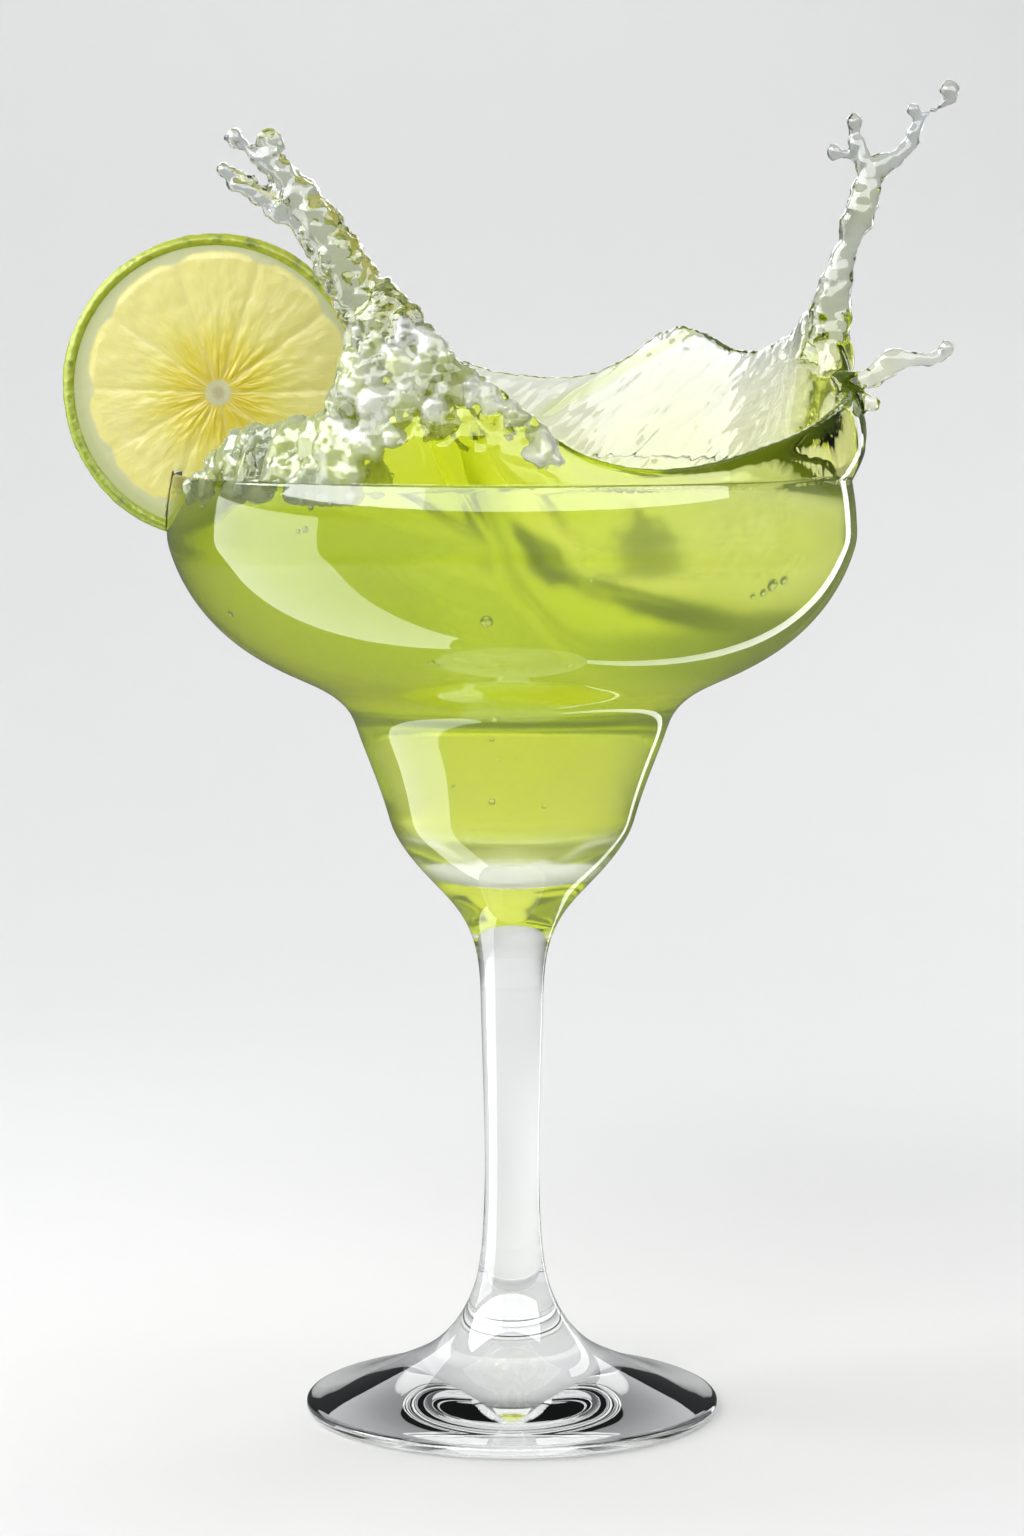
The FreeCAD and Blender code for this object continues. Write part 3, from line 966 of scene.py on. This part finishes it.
# ---------------------------------------------------------------- drink
@dataclass
class SplashingDrink:
    """The drink, from the frame's own solid: rounded, churned and seated in the glass wall.

    Attributes:
        glass: The glass that it stands in.
        voxel: How finely its mesh is divided.
        reach: How far it reaches into the wall, so that no air shows between them.
        catch: How near the wall a vertex is seated.
        churn: How far the lumps of the left wave stand out.
        streak: How far the streaks of the back sheet stand out.
        swell: How much the jets swell before their mesh is made anew.
        side_jet: Distances along X between which the side jet starts.
    """

    glass: StemGlass
    voxel: float = 0.6 * MM
    reach: float = 0.22 * MM
    catch: float = 0.95 * MM
    churn: float = 0.9 * MM
    streak: float = 0.28 * MM
    swell: float = 0.16 * MM
    side_jet: tuple[float, float] = (59 * MM, 63 * MM)

    def build(self) -> bpy.types.Object:
        """Copies the solid, rounds it, roughens the splash and seats the wall.

        Returns:
            The drink.
        """
        made = bpy.data.objects.new("lime_drink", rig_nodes()["drink"].data.copy())
        bpy.context.scene.collection.objects.link(made)
        made.data.materials.clear()
        apply_modifier(made, "WELD", {"merge_threshold": 0.01 * MM})
        places = vertices_of(made)
        # The jets swell a little first, so that their thinnest threads last through the next step.
        thin = np.maximum(ramp(places[:, 2], 184 * MM, 192 * MM), ramp(places[:, 0], *self.side_jet))
        move_vertices(made, places + normals_of(made) * (thin * self.swell)[:, None])
        apply_modifier(made, "REMESH", {"mode": "VOXEL", "voxel_size": self.voxel, "use_smooth_shade": True})
        for _ in range(6):
            # A step out after each step in, so that the thin jets don't shrink.
            apply_modifier(made, "SMOOTH", {"factor": 0.5, "iterations": 1})
            apply_modifier(made, "SMOOTH", {"factor": -0.52, "iterations": 1})
        places = vertices_of(made)
        places += normals_of(made) * self.relief(places)[:, None]
        move_vertices(made, self.seat(places))
        made.data.shade_smooth()
        return made

    def relief(self, places: np.ndarray) -> np.ndarray:
        """The lumps of the left wave and the jets, and the slanting streaks of the back sheet.

        Args:
            places: The vertices.

        Returns:
            How far each one moves out.
        """
        x, y, z = places.T
        turn = azimuths(places)
        above = ramp(z, 160 * MM, 163 * MM)
        high = ramp(z, 168 * MM, 174 * MM)
        low_front = ramp(turn, 236, 244) * (1 - high)
        churned = above * ramp(turn, 192, 204) * (1 - low_front) * (1 - ramp(turn, 268, 286))
        streaked = above * (ramp(turn, 14, 26) * (1 - ramp(turn, 128, 150)))
        lumps = wander(places, 420.0)
        slanted = np.column_stack([(x + z) * 0.25, (x - z) * 1.4, y * 0.6])
        streaks = wander(slanted, 520.0)
        jets = np.maximum(ramp(z, 180 * MM, 190 * MM), ramp(x, *self.side_jet))
        knobs = np.maximum(wander(places, 240.0) * 0.75 + wander(places, 620.0) * 0.3, -0.45)
        return churned * lumps * self.churn + streaked * streaks * self.streak + jets * knobs * MM

    def seat(self, places: np.ndarray) -> np.ndarray:
        """Moves what lies by the glass onto a surface just within its wall.

        Args:
            places: The vertices.

        Returns:
            Their new places.
        """
        inside = self.glass.inner(900) * MM
        along = np.gradient(inside, axis=0)
        along /= np.linalg.norm(along, axis=1)[:, None]
        outward = np.column_stack([-along[:, 1], along[:, 0]])
        tree = KDTree(len(inside))
        for k, (r, z) in enumerate(inside):
            tree.insert((r, z, 0), k)
        tree.balance()
        radius = np.hypot(places[:, 0], places[:, 1])
        top = self.glass.lip_height() * MM + 0.3 * MM
        on_axis = 0.01 * MM
        moved = places.copy()
        for k in np.flatnonzero(places[:, 2] < top):
            _, near, gap = tree.find((radius[k], places[k, 2], 0))
            if gap > self.catch or radius[k] < on_axis:
                continue
            r, z = inside[near] + outward[near] * self.reach
            moved[k] = places[k, 0] / radius[k] * r, places[k, 1] / radius[k] * r, z
        return moved


@dataclass
class FrothCap:
    """Foam lumps on the churned side of the splash, with small bubbles on them.

    Attributes:
        drink: The drink that carries them.
        crest: The wave's crest, as (angle, height) in degrees and millimetres.
        foot: The lower edge of the foam on the wave, in the same way.
        voxel: How finely the foam's mesh is divided.
        sunk: How deep a lump's middle lies, as a share of its radius.
        seed: The seed of its random draws.
    """

    drink: bpy.types.Object
    crest: tuple[tuple[float, float], ...] = (
        (234, 172.0), (240, 190.0), (246, 195.0), (252, 191.0),
        (258, 184.0), (269, 176.0), (282, 168.0), (290, 166.0),
    )
    foot: tuple[tuple[float, float], ...] = ((234, 162.5), (241, 164.5), (250, 169.5), (260, 172.5))
    voxel: float = 0.45 * MM
    sunk: float = 0.78
    seed: int = 7

    def regions(self) -> list[tuple[np.ndarray, tuple[float, float], int, float]]:
        """The parts of the splash that carry lumps.

        Returns:
            For each part a mask of the drink's vertices, and its lumps' radii, number and spacing.
        """
        places, normals = vertices_of(self.drink), normals_of(self.drink)
        turn, z = azimuths(places), places[:, 2] / MM
        outward = np.einsum("ij,ij->i", normals[:, :2], places[:, :2]) / np.hypot(places[:, 0], places[:, 1])
        crest = np.interp(turn, *np.array(self.crest).T)
        foot = np.interp(turn, *np.array(self.foot).T)
        facing = (outward > -0.2) | (normals[:, 2] > 0.5)
        mound = (turn > 199) & (turn < 237) & (z > 161.5) & (z < 173) & facing
        on_wave = (z > foot) & (z < np.minimum(crest + 2, 188))
        wave = (turn > 234) & (turn < 258) & on_wave & (outward > -0.6)
        ridge = (turn >= 254) & (turn < 278) & (z > crest - 5.5) & (outward > -0.7)
        streak = (turn > 235) & (turn < 243) & (z > 160.5) & (z < 172) & (outward > 0)
        return [
            (streak, (1.7 * MM, 2.7 * MM), 22, 0.3),
            (mound, (1.5 * MM, 3.4 * MM), 95, 0.36),
            (wave, (1.5 * MM, 3.2 * MM), 85, 0.36),
            (ridge, (1.0 * MM, 2.2 * MM), 48, 0.42),
        ]

    def build(self) -> bpy.types.Object:
        """Melts the lumps into one foam.

        Returns:
            The foam.
        """
        rng = np.random.default_rng(self.seed)
        places, normals = vertices_of(self.drink), normals_of(self.drink)
        middles, radii = [], []
        for mask, sizes, wanted, gap in self.regions():
            rows = np.flatnonzero(mask)
            picked, size = spread(rng, places[rows], sizes, wanted, gap)
            rows = rows[picked]
            middles.append(places[rows] - normals[rows] * (size * self.sunk)[:, None])
            radii.append(size)
        middles, radii = np.vstack(middles), np.concatenate(radii)
        squash = rng.uniform(0.7, 1.35, (len(middles), 3))
        made = balls("froth", middles, radii, squash)
        apply_modifier(made, "REMESH", {"mode": "VOXEL", "voxel_size": self.voxel, "use_smooth_shade": True})
        apply_modifier(made, "SMOOTH", {"factor": 0.5, "iterations": 15})
        shifted = vertices_of(made)
        churn = wander(shifted, 330.0) * 0.45 * MM + wander(shifted, 1000.0) * 0.14 * MM
        shifted += normals_of(made) * churn[:, None]
        move_vertices(made, shifted)
        made.data.shade_smooth()
        return made

    def bubbles(self, froth: bpy.types.Object) -> bpy.types.Object:
        """Small bright bubbles that stand half out of the foam.

        Args:
            froth: The foam.

        Returns:
            The bubbles.
        """
        rng = np.random.default_rng(self.seed + 1)
        places, normals = vertices_of(froth), normals_of(froth)
        open_side = np.flatnonzero((normals[:, 1] < 0.3) | (normals[:, 2] > 0.2))
        picked, size = spread(rng, places[open_side], (0.18 * MM, 0.75 * MM), 110, 1.6)
        rows = open_side[picked]
        return balls("foam_bubbles", places[rows] + normals[rows] * (size * 0.25)[:, None], size)


@dataclass
class SunkBubbles:
    """Bubbles that cling to the inside of the glass. Sizes are in millimetres.

    Attributes:
        glass: The glass.
        set_back: How far a bubble's skin stays from the wall.
        single: The larger bubbles, as (angle, height, radius), with the angle in degrees.
        fizz: How many small ones are strewn besides.
        seed: The seed of their random draws.
    """

    glass: StemGlass
    set_back: float = 1.3
    single: tuple[tuple[float, float, float], ...] = (
        (233.9, 155.6, 0.60),
        (232.6, 155.2, 0.45),
        (206.6, 141.9, 0.75),
        (265.5, 142.1, 1.05),
        (253.2, 135.3, 0.60),
        (255.0, 134.8, 0.50),
        (263.6, 124.1, 0.50),
        (262.1, 120.0, 0.45),
        (260.5, 109.1, 0.60),
        (285.3, 108.2, 0.40),
        (320.8, 146.9, 1.10),
        (318.8, 145.7, 0.70),
        (323.4, 147.5, 0.80),
        (316.2, 145.2, 0.50),
    )
    fizz: int = 70
    seed: int = 11

    def build(self) -> bpy.types.Object:
        """Places the bubbles just inside the wall.

        Returns:
            The bubbles.
        """
        rng = np.random.default_rng(self.seed)
        inside = self.glass.inner(400)[::-1]
        rows = list(self.single)
        for _ in range(self.fizz):
            rows.append((rng.uniform(0, 360), rng.uniform(101, 154), 0.12 + 0.3 * rng.random() ** 3))
        places, sizes = [], []
        for angle, height, size in rows:
            radius = float(np.interp(height, inside[:, 1], inside[:, 0])) - self.set_back - size
            turn = math.radians(angle)
            places.append((radius * math.cos(turn), radius * math.sin(turn), height))
            sizes.append(size)
        return balls("sunk_bubbles", np.array(places) * MM, np.array(sizes) * MM)


# ---------------------------------------------------------------- citrus slice
@dataclass
class CitrusSlice:
    """The round slice on the rim: a rind ring round a disc of pith, segments and core.

    Attributes:
        glass: The glass that it hangs on.
        rind_depth: How far the rind reaches in.
        rind_round: How far the rind's corners fall back.
        face_inset: How far the faces lie behind the rind's edges.
        pulp_inset: How far the segments end inside the rind's outer edge.
        pulp_shift: Where the middle of the segments is, from the slice's middle, along X and Z.
        core_shift: Where the core is, in the same way.
        core_radius: The core's radius.
        bulge: How far a segment stands out.
        grain: How far the juice sacs stand out.
        rings: How many rings of points a face has.
        turns: How many points a ring has.
        rind_turns: How many steps the rind has round the slice.
        membranes: The angles of the walls between segments, in degrees from +X.
    """

    glass: StemGlass
    rind_depth: float = 2.0 * MM
    rind_round: float = 0.9 * MM
    face_inset: float = 0.45 * MM
    pulp_inset: float = 3.9 * MM
    pulp_shift: tuple[float, float] = (0.6 * MM, 0.7 * MM)
    core_shift: tuple[float, float] = (0.5 * MM, -0.9 * MM)
    core_radius: float = 2.2 * MM
    bulge: float = 0.22 * MM
    grain: float = 0.12 * MM
    rings: int = 84
    turns: int = 300
    rind_turns: int = 540
    membranes: tuple[float, ...] = (1, 37, 72, 108, 144, 178, 208, 245, 283, 322)

    def __post_init__(self) -> None:
        """Takes the slice's place and size from the frame."""
        low, high = (np.array(corner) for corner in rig.box("citrus_slice"))
        self.middle = (low + high) / 2
        self.radius = float(high[0] - low[0]) / 2
        self.half = float(high[1] - low[1]) / 2
        self.core = self.middle + np.array([self.core_shift[0], 0, self.core_shift[1]])

    def pulp_middle(self) -> Point:
        """The middle of the segments, which is a little off the rind's."""
        return self.middle[0] + self.pulp_shift[0], self.middle[1], self.middle[2] + self.pulp_shift[1]

    def flesh_finish(self) -> CitrusFlesh:
        """The finish of the cut faces."""
        core, pulp_radius = tuple(self.core), self.radius - self.pulp_inset
        return CitrusFlesh(self.pulp_middle(), core, self.core_radius, self.membranes, pulp_radius)

    def rind_finish(self) -> CitrusRind:
        """The finish of the rind."""
        return CitrusRind(tuple(self.middle), self.radius)

    def build_flesh(self) -> bpy.types.Object:
        """The disc inside the rind, with plump segments on both faces.

        Returns:
            The disc.
        """
        share = (np.arange(1, self.rings + 1) / self.rings)[:, None]
        turn = (np.arange(self.turns) * TURN / self.turns)[None, :]
        edge = self.radius - self.rind_depth * 0.5
        rim_x = self.middle[0] + edge * np.cos(turn)
        rim_z = self.middle[2] + edge * np.sin(turn)
        x = self.core[0] + share * (rim_x - self.core[0])
        z = self.core[2] + share * (rim_z - self.core[2])
        depth = self.half - self.face_inset
        rise = self.face_rise(x, z)
        front = np.stack([x, -depth - rise, z], axis=2).reshape(-1, 3)
        back = np.stack([x, depth + rise, z], axis=2).reshape(-1, 3)
        tips = [[self.core[0], -depth, self.core[2]], [self.core[0], depth, self.core[2]]]
        vertices = np.vstack([front, back, tips])
        count = len(front)
        faces = grid_faces(self.rings, self.turns, False, True)
        faces += [(count + a, count + d, count + c, count + b) for a, b, c, d in faces]
        last = count - self.turns
        for t in range(self.turns):
            u = (t + 1) % self.turns
            faces.append((2 * count, t, u))
            faces.append((2 * count + 1, count + u, count + t))
            faces.append((last + t, count + last + t, count + last + u, last + u))
        made = new_object("citrus_flesh", vertices, faces)
        face_out(made)
        self.cut_slit(made)
        return made

    def face_rise(self, x: np.ndarray, z: np.ndarray) -> np.ndarray:
        """The relief of a face: plump segments between sunk walls, with a grain of juice sacs.

        Args:
            x: Places along X.
            z: Places along Z.

        Returns:
            How far the face stands out at each place.
        """
        across, up = x - self.core[0], z - self.core[2]
        reach = np.hypot(across, up)
        wall = np.full(reach.shape, 1.0)
        for angle in self.membranes:
            c, s = math.cos(math.radians(angle)), math.sin(math.radians(angle))
            off = np.where(across * c + up * s > 0, np.abs(across * s - up * c), 1.0)
            wall = np.minimum(wall, off)
        middle = self.pulp_middle()
        from_middle = np.hypot(x - middle[0], z - middle[2])
        pulp_edge = self.radius - self.pulp_inset
        off_core = ramp(reach, self.core_radius, self.core_radius + 2 * MM)
        inside = off_core * (1 - ramp(from_middle, pulp_edge - 1.2 * MM, pulp_edge))
        plump = self.bulge * (1 - np.exp(-wall / (0.9 * MM))) * inside
        turn = np.arctan2(up, across).ravel()
        sacs = np.column_stack([np.cos(turn) * 9, np.sin(turn) * 9, reach.ravel() * 330])
        return plump + wander(sacs, 1.0).reshape(reach.shape) * self.grain * inside

    def build_rind(self) -> bpy.types.Object:
        """The rind: a pitted ring with softened edges.

        Returns:
            The rind.
        """
        half, deep = self.half, self.rind_depth
        side = np.linspace(-1, 1, 13)
        outside = np.column_stack([-self.rind_round * np.abs(side) ** 6, side * (half - 0.15 * MM)])
        inner_front = [(-deep * 0.55, -half + 0.12 * MM), (-deep, -half + 0.35 * MM)]
        inner_back = [(-deep, half - 0.35 * MM), (-deep * 0.55, half - 0.12 * MM)]
        section = np.vstack([inner_front[::-1], outside, inner_back[::-1]])
        turn = np.arange(self.rind_turns) * TURN / self.rind_turns
        radius = self.radius - 0.1 * MM + section[None, :, 0]
        x = self.middle[0] + radius * np.cos(turn)[:, None]
        z = self.middle[2] + radius * np.sin(turn)[:, None]
        y = np.broadcast_to(section[None, :, 1], x.shape) + self.middle[1]
        vertices = np.stack([x, y, z], axis=2).reshape(-1, 3)
        skin = np.tile((section[:, 0] > -0.6 * MM).astype(float), self.rind_turns)
        shift = (wander(vertices, 700.0) * 0.10 * MM + wander(vertices, 130.0) * 0.16 * MM) * skin
        away = vertices - self.middle
        away[:, 1] = 0
        vertices += away / np.linalg.norm(away, axis=1)[:, None] * shift[:, None]
        made = new_object("citrus_rind", vertices, grid_faces(self.rind_turns, len(section), True, True))
        face_out(made)
        self.cut_slit(made)
        return made

    def cut_slit(self, made: bpy.types.Object) -> None:
        """Cuts the slit that the glass wall stands in. Its outline follows the drawn-in lip.

        Args:
            made: The piece to cut.
        """
        glass = self.glass
        inner, outer = (glass.inner_rim() - 0.5) * MM, (glass.rim_radius + 0.15) * MM
        low, high = self.middle[2] - self.radius - 2 * MM, (glass.bead_end + 0.9) * MM
        lip, shoulder = (glass.bead()[0][0] + 0.1) * MM, (glass.bead_start + 4) * MM
        turns = np.radians(np.linspace(173, 187, 15))
        corners = ((inner, low), (outer, low), (outer, shoulder), (lip, high), (inner, high))
        vertices = np.array([(r * math.cos(t), r * math.sin(t), z) for t in turns for r, z in corners])
        faces = grid_faces(len(turns), len(corners), False, True)
        end = len(vertices)
        faces.append(tuple(range(len(corners))))
        faces.append(tuple(range(end - 1, end - len(corners) - 1, -1)))
        slit = new_object("slit", vertices, faces, smooth=False)
        face_out(slit)
        apply_modifier(made, "BOOLEAN", {"operation": "DIFFERENCE", "solver": "MANIFOLD", "object": slit})
        bpy.data.objects.remove(slit)


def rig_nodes() -> dict[str, bpy.types.Object]:
    """The frame's CAD nodes by name."""
    return {o["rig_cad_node"]: o for o in bpy.data.objects if "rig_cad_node" in o}


# ---------------------------------------------------------------- studio
class Gleam(Enum):
    """Where a bright sheet of the studio shows. The value names the rays that it is hidden from."""

    SURFACE = "transmission"
    THROUGH = "glossy"


@dataclass
class Studio:
    """Pale floor and backdrop, soft lights and the camera.

    Attributes:
        eye: Where the camera is.
        down: How far it looks down, in degrees.
        lens: Its focal length in millimetres, on a sensor 36 mm wide.
        floor_half: Half the width of the paper.
        wall_distance: How far behind the drink the paper stands upright.
        wall_height: How high it stands.
        bend: The radius of its bend.
        paper: Its colour.
        gleam_radius: How far the bright sheets stand from the glass.
        gleam_height: The height of their middle.
        gleam_tint: Their colour.
        room: How bright the room is.
        mat_radius: The radius of the piece of floor that shows in reflections.
        mat_glow: How much light it gives off.
    """

    eye: Point = (0.0, -0.730, 0.190)
    down: float = 6.076
    lens: float = 99.77
    floor_half: float = 2.5
    wall_distance: float = 0.9
    wall_height: float = 1.6
    bend: float = 0.5
    paper: Colour = (0.82, 0.82, 0.82)
    gleam_radius: float = 0.8
    gleam_height: float = 0.15
    gleam_tint: Colour = (0.97, 0.98, 1.0)
    room: float = 0.13
    mat_radius: float = 0.040
    mat_glow: float = 0.30

    def build(self) -> None:
        """Builds the camera, the paper and the lights."""
        self.make_camera()
        self.make_backdrop()
        self.make_lights()

    def make_camera(self) -> None:
        """The camera, a little above the rim."""
        data = bpy.data.cameras.new("camera")
        data.lens = self.lens
        data.sensor_width = 36.0
        made = bpy.data.objects.new("camera", data)
        made.location = self.eye
        made.rotation_euler = (math.radians(90 - self.down), 0, 0)
        bpy.context.scene.collection.objects.link(made)
        bpy.context.scene.camera = made

    def paper_shade(self, graph: Graph, dimmest: float) -> Value:
        """The paper's colour, with faint fibres that dim it to this share."""
        return graph.mix(graph.noise(graph.place(), 40.0), self.paper, tuple(c * dimmest for c in self.paper))

    def make_backdrop(self) -> None:
        """One sweep of paper: floor, bend and wall, with the mat that stands in for it in reflections."""
        below = 0.3 * MM
        bend_steps = 24
        profile = [(-self.floor_half, -below)]
        centre = self.wall_distance - self.bend
        for turn in np.linspace(0, TURN / 4, bend_steps + 1):
            profile.append((centre + self.bend * math.sin(turn), self.bend * (1 - math.cos(turn)) - below))
        profile.append((self.wall_distance, self.wall_height))
        sides = (self.floor_half, -self.floor_half)
        vertices = np.array([(x, y, z) for y, z in profile for x in sides])
        made = new_object("paper_sweep", vertices, grid_faces(len(profile), 2, False, False))
        graph = Graph("paper")
        inputs = {"Base Color": self.paper_shade(graph, 0.985), "Roughness": 0.9}
        paper = graph.node("ShaderNodeBsdfPrincipled", None, inputs)
        # The paper's back is clear, so that the drink can also be looked at from behind it.
        behind = graph.node("ShaderNodeNewGeometry", out="Backfacing")
        clear = graph.node("ShaderNodeBsdfTransparent")
        both = graph.node("ShaderNodeMixShader", None, {0: behind, 1: paper, 2: clear})
        made.data.materials.append(graph.close(both))
        made.visible_glossy = False
        mat = self.make_mat()
        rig.stage(made, mat)

    def make_mat(self) -> bpy.types.Object:
        """A small round of floor that shows in reflections only, so that the gleams run on below the bowl.

        Returns:
            The mat. It glows a little, as light that gathers under a real foot would make it.
        """
        corners = 64
        turns = np.arange(corners) * TURN / corners
        rim = np.column_stack([np.cos(turns), np.sin(turns), np.zeros(corners)]) * self.mat_radius
        rim[:, 2] = -0.1 * MM
        mat = new_object("paper_mat", rim, [tuple(range(corners))])
        graph = Graph("lit_paper")
        shade = self.paper_shade(graph, 0.95)
        glow = {"Emission Color": shade, "Emission Strength": self.mat_glow}
        mat.data.materials.append(graph.principled({"Base Color": shade, "Roughness": 0.9, **glow}))
        self.hide(mat)
        return mat

    @staticmethod
    def hide(made: bpy.types.Object, *ways: str) -> None:
        """Hides a sheet from the camera and from rough surfaces, and in these ways besides."""
        for way in ("camera", "diffuse", "shadow", "volume_scatter", *ways):
            setattr(made, f"visible_{way}", False)

    @staticmethod
    def area(
        name: str, place: Point, aim: Point, size: tuple[float, float], watts: float
    ) -> bpy.types.Object:
        """A rectangular soft light.

        Args:
            name: Its name.
            place: Where it stands.
            aim: The point that it faces.
            size: Its width and height.
            watts: Its power.

        Returns:
            The light's object.
        """
        data = bpy.data.lights.new(name, "AREA")
        data.shape = "RECTANGLE"
        data.size, data.size_y = size
        data.energy = watts
        made = bpy.data.objects.new(name, data)
        made.location = place
        made.rotation_euler = (Vector(aim) - Vector(place)).to_track_quat("-Z", "Y").to_euler()
        bpy.context.scene.collection.objects.link(made)
        return made

    def reflector(
        self, name: str, turn: tuple[float, float], climb: tuple[float, float], radiance: float, use: Gleam
    ) -> None:
        """A curved bright sheet round the glass, seen only in or through shiny surfaces.

        Args:
            name: Its name.
            turn: The angles round Z between which it stands, in degrees from +X.
            climb: Its lowest and highest angle above the level of the bowl, in degrees.
            radiance: How bright it is.
            use: Whether it shows as a gleam on surfaces or as light through the glass and the drink.
        """
        turns = np.radians(np.linspace(*turn, 17))
        climbs = np.radians(np.linspace(*climb, 25))
        t, c = np.meshgrid(turns, climbs)
        ball = np.stack([np.cos(t) * np.cos(c), np.sin(t) * np.cos(c), np.sin(c)], axis=2) * self.gleam_radius
        ball[:, :, 2] += self.gleam_height
        made = new_object(name, ball.reshape(-1, 3), grid_faces(len(climbs), len(turns), False, False))
        graph = Graph(name)
        glow = graph.node("ShaderNodeEmission", None, {"Color": self.gleam_tint, "Strength": radiance})
        made.data.materials.append(graph.close(glow))
        self.hide(made, use.value)
        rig.stage(made)

    def make_lights(self) -> None:
        """Soft lights, the bright sheets that gleam in the glass, a lit backdrop and a dim room."""
        left = self.area("left_softbox", (-0.62, -0.05, 0.42), (0, 0, 0.18), (0.5, 0.8), 2.6)
        front = self.area("front_fill", (-0.35, -0.9, 0.75), (0, 0, 0.15), (0.8, 0.6), 7.5)
        right = self.area("right_softbox", (0.5, 0.5, 0.5), (0, 0, 0.18), (0.4, 0.8), 1.8)
        self.area("overhead", (0, 0.1, 1.3), (0, 0, 0), (1.1, 1.1), 3.0)
        back = self.area("backdrop_light", (0, 0.15, 1.25), (0, 0.85, 0.1), (1.2, 0.3), 2.4)
        for light in (left, front, right, back):
            light.visible_glossy = False
            light.visible_transmission = False
        self.reflector("left_gleam", (158, 206), (-78, 8), 4.6, Gleam.SURFACE)
        self.reflector("right_gleam", (52, 59), (-70, 45), 3.2, Gleam.SURFACE)
        self.reflector("rim_gleam_left", (164, 242), (13, 50), 12.0, Gleam.SURFACE)
        self.reflector("rim_gleam_right", (242, 345), (13, 50), 7.0, Gleam.SURFACE)
        self.reflector("back_gleam", (64, 136), (12, 34), 2.8, Gleam.SURFACE)
        self.reflector("front_card", (175, 365), (-5, 88), 0.85, Gleam.THROUGH)
        world = bpy.data.worlds.new("room")
        world.use_nodes = True
        background = world.node_tree.nodes["Background"].inputs
        background["Color"].default_value = (0.93, 0.96, 1.0, 1)
        background["Strength"].default_value = self.room
        bpy.context.scene.world = world
        bpy.context.scene.view_settings.view_transform = "Standard"


# ---------------------------------------------------------------- build
def show(piece: bpy.types.Object, node: str, slot: str, finish: bpy.types.Material) -> None:
    """Dresses a piece and puts it in its CAD node's place.

    Args:
        piece: The piece.
        node: The CAD node that it stands for.
        slot: The record's material slot.
        finish: Its material.
    """
    piece.data.materials.clear()
    piece.data.materials.append(finish)
    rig.ride(piece, "root")
    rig.replaces(piece, node)
    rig.slot(piece, slot)
    LOG.info("%s: %d faces", piece.name, len(piece.data.polygons))


def main() -> None:
    """Builds every piece around the frame."""
    logging.basicConfig(level=logging.INFO, format="%(name)s %(message)s")
    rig.load()
    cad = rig.bounds()
    Studio().build()
    glass = StemGlass()
    show(glass.build(), "glass", "glass", ClearGlass().material())
    drink = SplashingDrink(glass).build()
    show(drink, "drink", "drink", LimeDrink().material())
    cap = FrothCap(drink)
    froth = cap.build()
    show(froth, "drink", "drink", Froth().material())
    show(cap.bubbles(froth), "drink", "drink", BubbleSkin().material())
    show(SunkBubbles(glass).build(), "drink", "drink", BubbleSkin("sunk_bubble").material())
    citrus = CitrusSlice(glass)
    show(citrus.build_flesh(), "citrus_slice", "citrus", citrus.flesh_finish().material())
    show(citrus.build_rind(), "citrus_slice", "citrus", citrus.rind_finish().material())
    sizes = {"cad": [list(corner) for corner in cad], "visual": [list(corner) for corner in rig.bounds()]}
    with open("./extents.json", "w") as out:
        json.dump(sizes, out)


if __name__ == "__main__":
    main()
